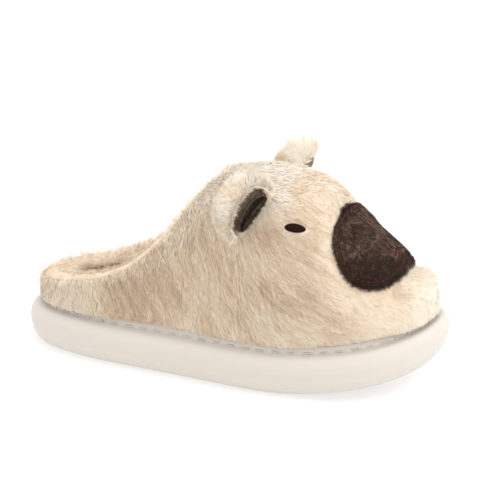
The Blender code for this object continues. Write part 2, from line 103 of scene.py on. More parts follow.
# %% Insole, face and ear sizes
INSOLE_THICKNESS = 0.006
NOSE_WIDTH = 0.076
NOSE_THICKNESS = 0.0022
NOSE_MIDDLE = 0.3296 * LENGTH
EYE_LENGTH = 0.0116
EYE_HEIGHT = 0.0053
EYE_X = 0.1963 * LENGTH
EYE_Y = 0.0370
EAR_X = 0.1000 * LENGTH
EAR_Y = 0.0340
EAR_HALF_LENGTH = 0.0170
EAR_HEIGHT = 0.0250
EAR_DEPTH = 0.0125
EAR_WALL = 0.0028
EAR_LEAN_RIGHT = -0.15
EAR_LEAN_LEFT = 0.15
EAR_SLOPE = math.radians(66)
EAR_TIP_TURN = math.radians(4)
GAP = 0.0003
OVERLAY_GAP = 0.0008
print("nose:", round(NOSE_WIDTH * 1000), "mm wide, ear:", round(EAR_HEIGHT * 1000), "mm high")

# %% Outline, profile and topline tables
# Plan outline of the sole's widest line, round one side: share of the length from the middle, the width
# that the row follows, and the shares of it on the outer (-Y) and inner (+Y) side of the foot.
OUTLINE = (
    (-0.455, HEEL_WIDTH, 0.315, 0.310),
    (-0.340, HEEL_WIDTH, 0.500, 0.492),
    (-0.090, WAIST_WIDTH, 0.515, 0.470),
    (0.176, BALL_WIDTH, 0.500, 0.482),
    (0.385, TOE_WIDTH, 0.487, 0.508),
    (0.475, TOE_WIDTH, 0.262, 0.300),
)
TOE_TIP_SHIFT = 0.030

# Side profile of the last form: share of the length from the middle, and share of the upper's rise above
# the lip. The rows behind the throat close the form over the foot opening and only shape its sides.
PROFILE = (
    ("heel end", -0.4700, 0.065),
    ("heel back", -0.4660, 0.110),
    ("heel lean", -0.4500, 0.165),
    ("behind heel", -0.4200, 0.230),
    ("over heel", -0.3000, 0.370),
    ("before heel", -0.2040, 0.620),
    ("over waist", -0.1260, 0.800),
    ("behind throat", -0.0500, 0.925),
    ("throat", -0.0050, 0.965),
    ("crown", 0.1000, 1.000),
    ("forehead", 0.1750, 0.972),
    ("brow", 0.2380, 0.885),
    ("nose top", 0.2850, 0.735),
    ("nose middle", 0.3350, 0.572),
    ("nose foot", 0.3800, 0.430),
    ("snout tip", 0.4000, 0.358),
    ("lip fold", 0.4130, 0.304),
    ("chin top", 0.4320, 0.286),
    ("chin round", 0.4540, 0.226),
    ("chin front", 0.4690, 0.160),
    ("chin end", 0.4722, 0.117),
)

# How square the cross-sections are: share of the length from the middle, and the power of the curve.
SQUARENESS = (
    (-0.50, 2.4),
    (-0.10, 2.6),
    (0.06, 3.0),
    (0.19, 2.9),
    (0.25, 2.3),
    (0.32, 1.7),
    (0.39, 1.7),
    (0.43, 2.2),
    (0.50, 2.2),
)

# Topline from heel to throat: share of the length from the middle, and share of the upper's rise.
TOPLINE = (
    (-0.420, 0.166),
    (-0.300, 0.240),
    (-0.204, 0.360),
    (-0.126, 0.565),
    (-0.078, 0.745),
    (-0.045, 0.870),
)

# Plan outline of the nose from its middle: degrees from the toe direction, and share of its width.
NOSE_OUTLINE = (
    (0, 0.280),
    (29, 0.320),
    (53, 0.386),
    (67, 0.420),
    (79, 0.440),
    (92, 0.456),
    (101, 0.476),
    (109, 0.488),
    (116, 0.484),
    (121, 0.462),
    (127, 0.415),
    (134, 0.355),
    (149, 0.276),
    (180, 0.218),
)
print("rows:", len(OUTLINE), "outline,", len(PROFILE), "profile,", len(NOSE_OUTLINE), "nose")

# %% [markdown]
# ## Fur, tone and colour tables
# Fur fabric has short fibres that lie along a nap, stand up at the edges and gather into locks, and
# its colour drifts from cream to tan. A picture of fur could show that, but it would have no fringe at
# the outline. So one table gives each zone its own blades, a second one places paler and darker spots
# on the body, some of them painted shade under the ears and in the fold by the mouth, and a third one
# holds every colour.

# %% Fur table
# Fur per zone: how many blades at most, their length and root width in millimetres, how steeply they
# leave the cloth in degrees, how much of that lift their tips keep, how much they gather into locks,
# and how much their direction varies. Each ear has its own "ear" and "lining" blades.
FUR = {
    "quarters": dict(count=61000, length=5.2, width=0.34, lift=32, curl=0.32, clump=0.75, stray=0.42),
    "head": dict(count=60000, length=6.0, width=0.34, lift=28, curl=0.35, clump=1.0, stray=0.30),
    "muzzle": dict(count=44000, length=5.4, width=0.34, lift=28, curl=0.35, clump=1.0, stray=0.30),
    "hem": dict(count=9000, length=3.5, width=0.32, lift=36, curl=0.3, clump=0.6, stray=0.45),
    "collar": dict(count=34000, length=5.6, width=0.30, lift=50, curl=0.55, clump=0.5, stray=0.60),
    "footbed": dict(count=6000, length=4.0, width=0.50, lift=60, curl=0.5, clump=1.0, stray=0.8),
    "ear": dict(count=13000, length=6.2, width=0.30, lift=50, curl=0.65, clump=0.6, stray=0.66),
    "lining": dict(count=4500, length=2.2, width=0.26, lift=48, curl=0.6, clump=0.6, stray=0.5),
    "nose": dict(count=26000, length=2.0, width=0.26, lift=34, curl=0.4, clump=0.8, stray=0.36),
    "fringe": dict(count=3000, length=3.5, width=0.24, lift=24, curl=0.5, clump=0.6, stray=0.40),
}
print("fur zones:", ", ".join(FUR))

# %% Tones and colours
# Paler (+) and darker (-) spots of the fur: x, y, z and radius in millimetres, and how strong.
# Each spot is also there on the other side of the foot.
TONES = (
    (28, -26, 118, 12, 0.28),
    (40, -28, 114, 14, 0.14),
    # Darker tan under the ear: partly the fur's own tan, partly painted shade of the ear.
    (36, -42, 98, 12, -0.35),
    (122, -10, 62, 24, 0.26),
    (100, -46, 50, 26, 0.06),
    (8, 0, 122, 30, 0.60),
    (52, -16, 112, 16, -0.08),
    (-108, -32, 42, 26, 0.14),
    (-45, -40, 62, 26, -0.30),
    (-15, -42, 84, 22, -0.20),
    (10, -44, 80, 20, -0.10),
    (-60, -38, 38, 30, -0.22),
    (20, -47, 48, 34, -0.12),
    (58, -40, 94, 12, -0.22),
    (62, -46, 60, 26, -0.20),
    (76, -36, 96, 9, 0.12),
    # Painted shade in the fold beside the mouth.
    (113, -24, 63, 6, -0.25),
)

# Colours as linear red, green and blue.
COLOURS = {
    "fur_dark": (0.63, 0.475, 0.325),
    # Cloth: darker tan so partings between locks look shaded; partly backing colour, partly painted shade.
    "cloth": (0.76, 0.635, 0.49),
    "fur_mid": (0.875, 0.745, 0.58),
    "fur_pale": (0.97, 0.92, 0.84),
    "nose_dark": (0.0110, 0.0055, 0.0036),
    "nose_pale": (0.270, 0.165, 0.120),
    "nose_mid": (0.062, 0.035, 0.024),
    "lining_dark": (0.022, 0.014, 0.010),
    "lining_mid": (0.160, 0.105, 0.076),
    "lining_pale": (0.400, 0.272, 0.205),
    "thread": (0.110, 0.032, 0.026),
    "eye": (0.020, 0.0070, 0.0050),
    "foam": (0.63, 0.585, 0.53),
    "floor": (0.46, 0.46, 0.46),
}
print("tone spots:", len(TONES), "colours:", len(COLOURS))

# %% [markdown]
# ## Curves and outlines
# A pattern maker lays a bent spline through a few marked points. Blender's curve objects could do
# that, but every later shape needs the points as numbers. So a smooth line is worked out as an array:
# one cubic piece between each two points, with slopes that come from their neighbours.

# %% Curves
def distances(points):
    """Distance along a line from its first point to each of its points: the sum of the steps so far."""
    return np.concatenate([[0.0], np.cumsum(np.linalg.norm(np.diff(points, axis=0), axis=1))])


def at_distances(want, run, points):
    """Points at the wanted distances along a line, straight between its own points."""
    return np.stack([np.interp(want, run, points[:, i]) for i in range(points.shape[1])], 1)


def evenly(points, count):
    """The same line with its points evenly spaced."""
    run = distances(points)
    return at_distances(np.linspace(0.0, run[-1], count), run, points)


def curve_through(points, count, closed=False):
    """Evenly spaced points on a smooth curve: cubic pieces whose slopes come from the neighbours.

    With t from 0 to 1: (2t^3 - 3t^2 + 1) * a + (t^3 - 2t^2 + t) * slope a + (3t^2 - 2t^3) * b
    + (t^3 - t^2) * slope b."""
    points = np.asarray(points, float)
    if closed:
        points = np.vstack([points[-2:], points, points[:3]])
    steps = np.sqrt(np.linalg.norm(np.diff(points, axis=0), axis=1))
    at = np.concatenate([[0.0], np.cumsum(steps)])
    chords = np.diff(points, axis=0) / steps[:, None]
    weight = (steps[1:] / (steps[:-1] + steps[1:]))[:, None]
    slopes = np.vstack([chords[:1], chords[:-1] * weight + chords[1:] * (1 - weight), chords[-1:]])
    first, last = (2, len(points) - 3) if closed else (0, len(points) - 1)
    fine = np.linspace(at[first], at[last], 60 * (last - first) + 1)
    k = np.clip(np.searchsorted(at, fine, side="right") - 1, first, last - 1)
    h = steps[k][:, None]
    t = ((fine - at[k]) / steps[k])[:, None]
    found = (
        (2 * t**3 - 3 * t**2 + 1) * points[k]
        + (t**3 - 2 * t**2 + t) * h * slopes[k]
        + (3 * t**2 - 2 * t**3) * points[k + 1]
        + (t**3 - t**2) * h * slopes[k + 1]
    )
    run = distances(found)
    want = np.linspace(0.0, run[-1], count + 1 if closed else count)
    if closed:
        want = want[:-1]
    return at_distances(want, run, found)


print("test curve:", curve_through([(0, 0), (1, 1), (2, 0)], 5).round(2).tolist())

# %% Sole outline
def outline_side(side):
    """The sole's widest line from heel to toe on one side, -1 for the outer and 1 for the inner side."""
    column = 2 if side < 0 else 3
    return [(row[0] * LENGTH, side * row[1] * row[column]) for row in OUTLINE]


def sole_outline(count):
    """The closed plan outline, from the heel back along the outer side to the toe and back."""
    heel = [(-LENGTH / 2, 0.0)]
    toe = [(LENGTH / 2, TOE_TIP_SHIFT * TOE_WIDTH)]
    fine = curve_through(heel + outline_side(-1) + toe + outline_side(1)[::-1], 720, closed=True)
    split = int(np.argmax(fine[:, 0]))
    outer, inner = fine[: split + 1], np.vstack([fine[split:], fine[:1]])[::-1]
    half = count // 2
    return np.vstack([evenly(outer, half + 1), evenly(inner, half + 1)[-2:0:-1]])


def inset_outline(outline, distance):
    """The outline moved inwards by a distance, or by one distance for each point."""
    along = np.roll(outline, -1, 0) - np.roll(outline, 1, 0)
    along /= np.linalg.norm(along, axis=1)[:, None]
    inward = np.stack([-along[:, 1], along[:, 0]], 1)
    return outline + inward * np.reshape(distance, (-1, 1))


print("round the sole:", round(distances(sole_outline(360))[-1] * 1000), "mm")

# %% Rings and levels
def spring(x):
    """Lift of the sole at a station: the toe spring times the square of the share past its start."""
    share = np.clip((x - SPRING_START) / (LENGTH / 2 - SPRING_START), 0.0, 1.0)
    return TOE_SPRING * share**2


def ring(outline, inset, height):
    """A ring of points at an inset from the outline and a height over the sprung sole."""
    flat = inset_outline(outline, inset)
    return np.column_stack([flat, height + spring(flat[:, 0])])


def lip_top(x):
    """Height of the lip's top edge."""
    return SOLE_HEIGHT + LIP_HEIGHT + spring(x)


def bulge_rise(x):
    """Rise above the lip at which the upper is widest: less at the low heel."""
    return np.interp(x / LENGTH, (-0.45, -0.15), (HEEL_BULGE_RISE, BULGE_RISE))


def bulge_level(x):
    """Height of the upper's widest line: the lip's top edge plus the bulge's rise."""
    return lip_top(x) + bulge_rise(x)


print("lip at the toe:", round(lip_top(LENGTH / 2) * 1000, 1), "mm above the floor")

# %% [markdown]
# ## The last form
# A shoemaker pulls the upper over a last, a solid in the shape of the foot. The form here is one too:
# at each station its cross-section is a superellipse, (across / half width)^n + (up / rise)^n = 1,
# where n says how square it is. It could be sculpted, but a formula also tells how far any point is
# from the surface, and that places the fur, the nose, the eyes and the ears on it.

# %% Widths and rises of the last form
FINE_OUTLINE = sole_outline(360)
TOE_SHARE = np.clip(FINE_OUTLINE[:, 0] / (LENGTH / 2), 0.0, 1.0) ** 2
BODY_OUTLINE = inset_outline(FINE_OUTLINE, SIDE_INSET + (TOE_INSET - SIDE_INSET) * TOE_SHARE)
SIDE_VIEW = curve_through([(x * LENGTH, rise * UPPER_RISE) for _, x, rise in PROFILE], 400)


def half_width(x):
    """Half-width of the last form at a station: the middle of the sole's two sides."""
    turn = int(np.argmax(BODY_OUTLINE[:, 0]))
    outer = BODY_OUTLINE[: turn + 1]
    inner = np.vstack([BODY_OUTLINE[turn:], BODY_OUTLINE[:1]])[::-1]
    one = np.interp(x, outer[:, 0], -outer[:, 1], left=0.0, right=0.0)
    other = np.interp(x, inner[:, 0], inner[:, 1], left=0.0, right=0.0)
    return np.maximum((one + other) / 2, 1e-6)


def crown_rise(x):
    """Rise of the side profile above the lip, from the level of the bulge."""
    ends = SIDE_VIEW[0, 0], SIDE_VIEW[-1, 0]
    rise = np.interp(x, SIDE_VIEW[:, 0], SIDE_VIEW[:, 1])
    inside = (x > ends[0]) & (x < ends[1])
    return np.where(inside, np.maximum(rise - bulge_rise(x), 1e-6), 1e-6)


def squareness(x):
    """Power of the superellipse at a station, straight between the rows of its table."""
    return np.interp(x / LENGTH, [row[0] for row in SQUARENESS], [row[1] for row in SQUARENESS])


print("half-width at the ball:", round(float(half_width(0.176 * LENGTH)) * 1000, 1), "mm")

# %% Rays to the surface
def fullness(points):
    """Under 1 inside the last form and over 1 outside: each cross-section is a superellipse."""
    x, y, z = points[..., 0], points[..., 1], points[..., 2]
    power = squareness(x)
    up = z - bulge_level(x)
    tall = np.where(up > 0, crown_rise(x), UNDER_BULGE)
    return (np.abs(y) / half_width(x)) ** power + (np.abs(up) / tall) ** power


def reach(start, way):
    """Distance along each ray from inside the last form to its surface, by halving."""
    near = np.zeros(way.shape[:-1])
    far = np.full(way.shape[:-1], LENGTH)
    for _ in range(34):
        middle = (near + far) / 2
        inside = fullness(start + way * middle[..., None]) < 1
        near = np.where(inside, middle, near)
        far = np.where(inside, far, middle)
    return (near + far) / 2


def unit(vectors):
    """The vectors divided by their lengths."""
    return vectors / np.linalg.norm(vectors, axis=-1, keepdims=True)


def surface_normals(points):
    """Outward normals of the last form: the slope of its fullness along each axis."""
    step = 1e-4
    slope = [fullness(points + d) - fullness(points - d) for d in np.eye(3) * step]
    return unit(np.stack(slope, -1))


def on_body(points):
    """The points moved onto the last form, along rays from its spine."""
    start = np.array(points, float)
    start[..., 0] = np.clip(start[..., 0], -0.40 * LENGTH, 0.33 * LENGTH)
    start[..., 1] = 0.0
    start[..., 2] = bulge_level(start[..., 0])
    way = unit(points - start)
    return start + way * reach(start, way)[..., None]


print("crown at the ears:", on_body(np.array([EAR_X, 0.0, 0.2])).round(4).tolist())

# %% Topline and sweep
def topline(count):
    """Topline points, from the heel along the outer side to the throat and back, on the last form."""
    sides = []
    for sign in (-1, 1):
        x, rise = np.array(TOPLINE).T * [[LENGTH], [UPPER_RISE]]
        level = np.clip(rise - bulge_rise(x), 0, None)
        room = np.clip(1 - (level / crown_rise(x)) ** squareness(x), 0, 1)
        y = sign * half_width(x) * room ** (1 / squareness(x))
        sides.append(np.column_stack([x, y, lip_top(x) + rise]))
    heel = [[HEEL_TOP_X, 0.0, lip_top(HEEL_TOP_X) + HEEL_TOP_RISE]]
    throat = [[THROAT_X, 0.0, bulge_level(THROAT_X) + crown_rise(THROAT_X)]]
    fine = curve_through(np.vstack([heel, sides[0], throat, sides[1][::-1]]), 720, closed=True)
    split = int(np.argmax(fine[:, 0]))
    outer, inner = fine[: split + 1], np.vstack([fine[split:], fine[:1]])[::-1]
    return on_body(np.vstack([evenly(outer, count // 2 + 1), evenly(inner, count // 2 + 1)[-2:0:-1]]))


def sweep(count_columns, shares):
    """Outside of the upper: columns round the foot and rows from the lip (0) to the topline (1).

    Each ray turns evenly between the two: sin((1 - share) * angle) * low + sin(share * angle) * high."""
    outline = sole_outline(count_columns)
    foot = ring(outline, LIP_INSET + 0.0002, SOLE_HEIGHT + LIP_HEIGHT + LEDGE_RISE)
    top = topline(count_columns)
    start = (foot + top) / 2
    start[:, 0] = np.clip(start[:, 0] * 0.9, -0.34 * LENGTH, 0.25 * LENGTH)
    start[:, 1] = 0.0
    start[:, 2] = bulge_level(start[:, 0])
    low, high = unit(foot - start), unit(top - start)
    angle = np.arccos(np.clip((low * high).sum(1), -1, 1))[None, :, None]
    share = np.asarray(shares)[:, None, None]
    way = unit(np.sin((1 - share) * angle) * low + np.sin(share * angle) * high)
    start = np.broadcast_to(start, way.shape)
    return start, way, start + way * reach(start, way)[..., None]


print("topline:", round(distances(topline(220))[-1] * 1000), "mm long")

# %% Places on the form
def tangent_map(middle, across, along, p, q, height):
    """Places p across, q along and a height over the last form, round a point of its surface."""
    flat = middle + p[..., None] * across + q[..., None] * along
    base = on_body(flat)
    return base + surface_normals(base) * (OVERLAY_GAP + height)[..., None]


def frame_at(x, y, tilt):
    """A surface point and two directions on it: one turned up from the toe direction by tilt, one across."""
    power = squareness(x)
    room = 1 - (abs(y) / half_width(x)) ** power
    point = np.array([x, y, bulge_level(x) + crown_rise(x) * room ** (1 / power)], float)
    normal = surface_normals(point)
    rise = np.array([math.cos(tilt), 0.0, math.sin(tilt)])
    rise = unit(rise - normal * (rise @ normal))
    return point, rise, np.cross(rise, normal)


EYES = [frame_at(EYE_X, sign * EYE_Y, 0.0) for sign in (-1, 1)]
print("right eye at:", EYES[0][0].round(4).tolist())

# %% [markdown]
# ## Meshes, noise and blades
# All pieces are grids of points computed as whole arrays, and foreach_set puts them into a mesh in one
# step. Noise in numpy does what Blender's noise texture does, but it can also bend shapes and lean
# blades, and it gives the same numbers in each run. A hair system is the usual way to make fur. Flat
# tapered blades are used here, because they stay plain meshes in an exported model.

# %% Meshes from grids
def make_mesh(name, points, faces, material, facts=None, uv=None):
    """An object from arrays: points (n, 3), faces as a list of (m, 3) or (m, 4) index arrays.

    `facts` are named three-number point attributes and `uv` is one pair for each point."""
    corners = np.concatenate([f.ravel() for f in faces]).astype(np.int32)
    sizes = np.concatenate([np.full(len(f), f.shape[1]) for f in faces])
    mesh = bpy.data.meshes.new(name)
    mesh.vertices.add(len(points))
    mesh.vertices.foreach_set("co", np.ascontiguousarray(points, np.float32).ravel())
    mesh.loops.add(len(corners))
    mesh.loops.foreach_set("vertex_index", corners)
    mesh.polygons.add(len(sizes))
    starts = np.concatenate([[0], np.cumsum(sizes)[:-1]]).astype(np.int32)
    mesh.polygons.foreach_set("loop_start", starts)
    mesh.polygons.foreach_set("use_smooth", np.full(len(sizes), True))
    if uv is not None:
        layer = mesh.uv_layers.new(name="OFBake")
        layer.data.foreach_set("uv", uv[corners].astype(np.float32).ravel())
    for key, values in (facts or {}).items():
        attribute = mesh.attributes.new(key, "FLOAT_VECTOR", "POINT")
        attribute.data.foreach_set("vector", np.ascontiguousarray(values, np.float32).ravel())
    mesh.update(calc_edges=True)
    mesh.materials.append(material)
    obj = bpy.data.objects.new(name, mesh)
    bpy.context.scene.collection.objects.link(obj)
    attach(obj, "root")
    return obj


def grid_quads(rows, columns, closed):
    """Index array of the quads of a grid; closed joins its last column to its first."""
    i, j = np.meshgrid(np.arange(rows - 1), np.arange(columns if closed else columns - 1), indexing="ij")
    on = (j + 1) % columns
    quads = np.stack([i * columns + j, i * columns + on, (i + 1) * columns + on, (i + 1) * columns + j], -1)
    return quads.reshape(-1, 4)


def grid_normals(grid, closed):
    """Unit normals of a grid of points (rows, columns, 3)."""
    up = np.gradient(grid, axis=0)
    across = (np.roll(grid, -1, 1) - np.roll(grid, 1, 1)) if closed else np.gradient(grid, axis=1)
    normal = np.cross(across, up)
    size = np.linalg.norm(normal, axis=-1, keepdims=True)
    return normal / np.maximum(size, 1e-12)


def grid_mesh(name, grid, closed, material):
    """An object from a grid of points (rows, columns, 3), joined round where it is closed."""
    rows, columns = grid.shape[:2]
    return make_mesh(name, grid.reshape(-1, 3), [grid_quads(rows, columns, closed)], material)


def fan(rim, shares):
    """Rings that shrink from a rim to its own middle line: middle + (rim - middle) * share."""
    spine = np.column_stack([rim[:, 0], np.zeros(len(rim)), rim[:, 2]])
    return spine + (rim - spine) * np.reshape(shares, (-1, 1, 1))


print("quads of a 3 x 4 ring:", len(grid_quads(3, 4, True)))

# %% Noise and soft edges
def lattice(cell, seed):
    """A repeatable random number from 0 to 1 for each whole-number cell, by mixing its bits."""
    n = cell.astype(np.int64)
    h = (n[..., 0] * 73856093) ^ (n[..., 1] * 19349663) ^ (n[..., 2] * 83492791) ^ (seed * 2654435761)
    h = (h ^ (h >> 13)) * 1274126177 & 0x7FFFFFFF
    return ((h ^ (h >> 16)) & 0xFFFFFF) / float(0xFFFFFF)


def noise(points, seed=0):
    """Smooth noise from 0 to 1 over points whose unit is one bump."""
    base = np.floor(points)
    part = points - base
    ease = part * part * (3 - 2 * part)
    total = np.zeros(points.shape[:-1])
    for corner in np.ndindex(2, 2, 2):
        share = np.prod(np.where(np.array(corner), ease, 1 - ease), axis=-1)
        total += share * lattice(base + np.array(corner), seed)
    return total


def noise3(points, seed):
    """Three noises at once, each from -1 to 1."""
    return np.stack([noise(points, seed + k) for k in range(3)], -1) * 2 - 1


def bell(distance, width):
    """A bell curve: exp(-(distance / width)^2)."""
    return np.exp(-((distance / width) ** 2))


def soft_step(value, width):
    """From 0 to 1 as the value crosses zero, straight over the given width."""
    return np.clip(value / width + 0.5, 0, 1)


print("noise sample:", noise(np.array([[0.3, 0.7, 1.9]])).round(3).tolist())

# %% Places for blades
def scatter(grid, closed, count, rng, keep=None):
    """Random places on a grid, evenly by area: points, normals and rows as fractions.

    `keep` gives the chance, from 0 to 1, of a place being used."""
    rows, columns = grid.shape[:2]
    normal = grid_normals(grid, closed)
    right = np.roll(grid, -1, 1) if closed else grid[:, 1:]
    a, b = grid[:-1, : right.shape[1]], right[:-1]
    c = grid[1:, : right.shape[1]]
    area = np.linalg.norm(np.cross(b - a, c - a), axis=-1)
    chance = area.ravel() / area.sum()
    want = count if keep is None else int(count * 3)
    cell = rng.choice(chance.size, want, p=chance)
    i, j = np.divmod(cell, area.shape[1])
    s, t = rng.random(want), rng.random(want)
    on = (j + 1) % columns

    def mix(field):
        """The field between the four corners of each cell, weighted by nearness."""
        return (
            field[i, j] * ((1 - s) * (1 - t))[:, None]
            + field[i, on] * ((1 - s) * t)[:, None]
            + field[i + 1, on] * (s * t)[:, None]
            + field[i + 1, j] * (s * (1 - t))[:, None]
        )

    point, up = mix(grid), unit(mix(normal))
    if keep is not None:
        used = np.flatnonzero(rng.random(want) < keep(point))[:count]
        point, up, i, s = point[used], up[used], i[used], s[used]
    return point, up, i + s


def lay(way, up):
    """The part of a direction that lies along the cloth, as a unit vector: way - up * (way . up)."""
    return unit(way - up * (way * up).sum(1)[:, None])


print("a direction laid flat:", lay(np.array([[1.0, 0.0, 1.0]]), np.array([[0.0, 0.0, 1.0]])).tolist())

# %% Blades
# Shares of a zone's length, width and lift that single blades get, how far they start inside the
# cloth, and the share of their length below the bend.
BLADE_LENGTHS = (0.62, 1.12)
BLADE_WIDTHS = (0.75, 1.2)
BLADE_LIFTS = (0.75, 1.3)
BLADE_SINK = 0.0003
BLADE_BEND = 0.48


def blade_shapes(root, up, along, spec, rng, scale):
    """Five points for each blade: two at its root, two at its bend and one at its tip.

    Slow and quick noise turns the nap, which gathers blades into locks, and chance turns it further.
    The lower part leaves the cloth at the zone's lift, and the upper part keeps a share of it. The
    flat side faces away from the cloth, rolled a little at random."""
    count = len(root)
    length = spec["length"] * 0.001 * rng.uniform(*BLADE_LENGTHS, count) * scale
    width = spec["width"] * 0.0005 * rng.uniform(*BLADE_WIDTHS, count)
    stray = spec["stray"]
    locks = noise3(root / 0.0042, 11) * 0.9 * spec["clump"] + noise3(root / 0.0016, 23) * 0.55
    along = lay(along + stray * locks + rng.normal(0, stray * 0.42, (count, 3)), up)
    roll = rng.normal(0, 0.40, count)[:, None]
    side = np.cross(up, along) * np.cos(roll) + up * np.sin(roll)
    steep = np.radians(spec["lift"]) * rng.uniform(*BLADE_LIFTS, count)
    first = along * np.cos(steep)[:, None] + up * np.sin(steep)[:, None]
    steep = steep * spec["curl"] + rng.normal(0, 0.10, count)
    last = along * np.cos(steep)[:, None] + up * np.sin(steep)[:, None]
    low = root - up * BLADE_SINK
    middle = low + first * (BLADE_BEND * length)[:, None]
    tip = middle + last * ((1 - BLADE_BEND) * length)[:, None]
    half = side * width[:, None]
    return np.stack([low - half, low + half, middle - half * 0.85, middle + half * 0.85, tip], 1)


def blades(name, root, up, along, spec, tone, material, rng, scale=1.0):
    """Fur as one mesh: for each root a blade of three triangles that leans along the nap.

    The point attribute `fur` holds a blade's tone, the place from root to tip and a random number.
    Each blade has its own cell of the UV map, from root to tip."""
    count = len(root)
    points = blade_shapes(root, up, along, spec, rng, scale)
    first_point = np.arange(count)[:, None] * 5
    quads = first_point + np.array([0, 1, 3, 2])
    tips = first_point + np.array([2, 3, 4])
    place = np.broadcast_to(np.array([0.0, 0.0, 0.5, 0.5, 1.0]), (count, 5))
    chance = np.repeat(rng.random(count)[:, None], 5, 1)
    fact = np.stack([np.repeat(tone[:, None], 5, 1), place, chance], -1)
    cells = int(math.ceil(math.sqrt(count)))
    cell = np.stack(np.divmod(np.arange(count), cells)[::-1], -1)[:, None, :]
    inside = np.array([[0.2, 0.12], [0.8, 0.12], [0.2, 0.5], [0.8, 0.5], [0.5, 0.88]])
    uv = ((cell + inside) / cells).reshape(-1, 2)
    return make_mesh(name, points.reshape(-1, 3), [quads, tips], material, {"fur": fact.reshape(-1, 3)}, uv)


print("triangles for each blade: 3")

# %% Tone of the fur
def spots(points, table):
    """Sum of round spots, strength * exp(-(distance / radius)^2), each also mirrored across the foot."""
    total = np.zeros(len(points))
    for x, y, z, radius, strength in table:
        for sign in (1, -1) if y else (1,):
            middle = np.array([x, sign * y, z]) * 0.001
            near = ((points - middle) ** 2).sum(1) / (radius * 0.001) ** 2
            total += strength * np.exp(-near)
    return total


def fur_tone(points, along):
    """Tone from 0, dark tan, to 1, cream: the spots, soft patches, and streaks along the nap."""
    across = np.cross(along, [0.0, 1.0, 0.0])
    lengthways, crossways = (points * along).sum(1) / 0.011, (points * across).sum(1) / 0.0019
    streak = np.stack([lengthways, crossways, points[:, 1] / 0.012], -1)
    patch = noise(points / 0.016, 5)
    tone = 0.53 + spots(points, TONES) + 0.52 * (noise(streak, 3) - 0.5) + 0.34 * (patch - 0.5)
    return np.clip(tone, 0.0, 1.0)


print("tone on the crown:", fur_tone(EYES[0][0][None], np.array([[1.0, 0.0, 0.0]])).round(2).tolist())

# %% [markdown]
# ## Materials
# The real finishes are fibres, short plush, moulded foam and thread. A fibre differs from the next, so
# one node group mixes three colours by the tone that each blade carries and darkens each blade towards
# its root as painted shade deep in the pile, and each pile material gives it its own colours. Foam lets
# light in a little way, so it has some subsurface scattering. Grain could come from a picture, but noise
# nodes need none.

# %% Shader helpers
def new_material(name, roughness, sheen=0.0, specular=0.3):
    """A material whose Principled shader stays in it, with its constants set on the sockets."""
    material = bpy.data.materials.new(name)
    material.use_nodes = True
    shader = material.node_tree.nodes["Principled BSDF"]
    shader.inputs["Roughness"].default_value = roughness
    shader.inputs["Sheen Weight"].default_value = sheen
    shader.inputs["Sheen Roughness"].default_value = 0.5
    shader.inputs["Specular IOR Level"].default_value = specular
    return material, material.node_tree, shader


def plain_material(name, colour, roughness, sheen=0.0, specular=0.3):
    """A material of one colour from the table."""
    material, _, shader = new_material(name, roughness, sheen, specular)
    shader.inputs["Base Color"].default_value = (*COLOURS[colour], 1.0)
    return material


def grain_material(name, pale, dark, scale, roughness, bump, sheen=0.0, specular=0.3):
    """A surface with soft mottled colour and a fine grain in its bump, from object coordinates."""
    material, tree, shader = new_material(name, roughness, sheen, specular)
    place = tree.nodes.new("ShaderNodeTexCoord")
    spot = tree.nodes.new("ShaderNodeTexNoise")
    spot.inputs["Scale"].default_value, spot.inputs["Detail"].default_value = scale, 4.0
    tree.links.new(place.outputs["Object"], spot.inputs["Vector"])
    mix = tree.nodes.new("ShaderNodeMix")
    mix.data_type = "RGBA"
    mix.inputs["A"].default_value = (*COLOURS[dark], 1.0)
    mix.inputs["B"].default_value = (*COLOURS[pale], 1.0)
    tree.links.new(spot.outputs["Fac"], mix.inputs["Factor"])
    tree.links.new(mix.outputs["Result"], shader.inputs["Base Color"])
    grain = tree.nodes.new("ShaderNodeTexNoise")
    grain.inputs["Scale"].default_value, grain.inputs["Detail"].default_value = 1400.0, 2.0
    tree.links.new(place.outputs["Object"], grain.inputs["Vector"])
    relief = tree.nodes.new("ShaderNodeBump")
    relief.inputs["Strength"].default_value, relief.inputs["Distance"].default_value = bump, 0.0004
    tree.links.new(grain.outputs["Fac"], relief.inputs["Height"])
    tree.links.new(relief.outputs["Normal"], shader.inputs["Normal"])
    return material


print("shader helpers ready")

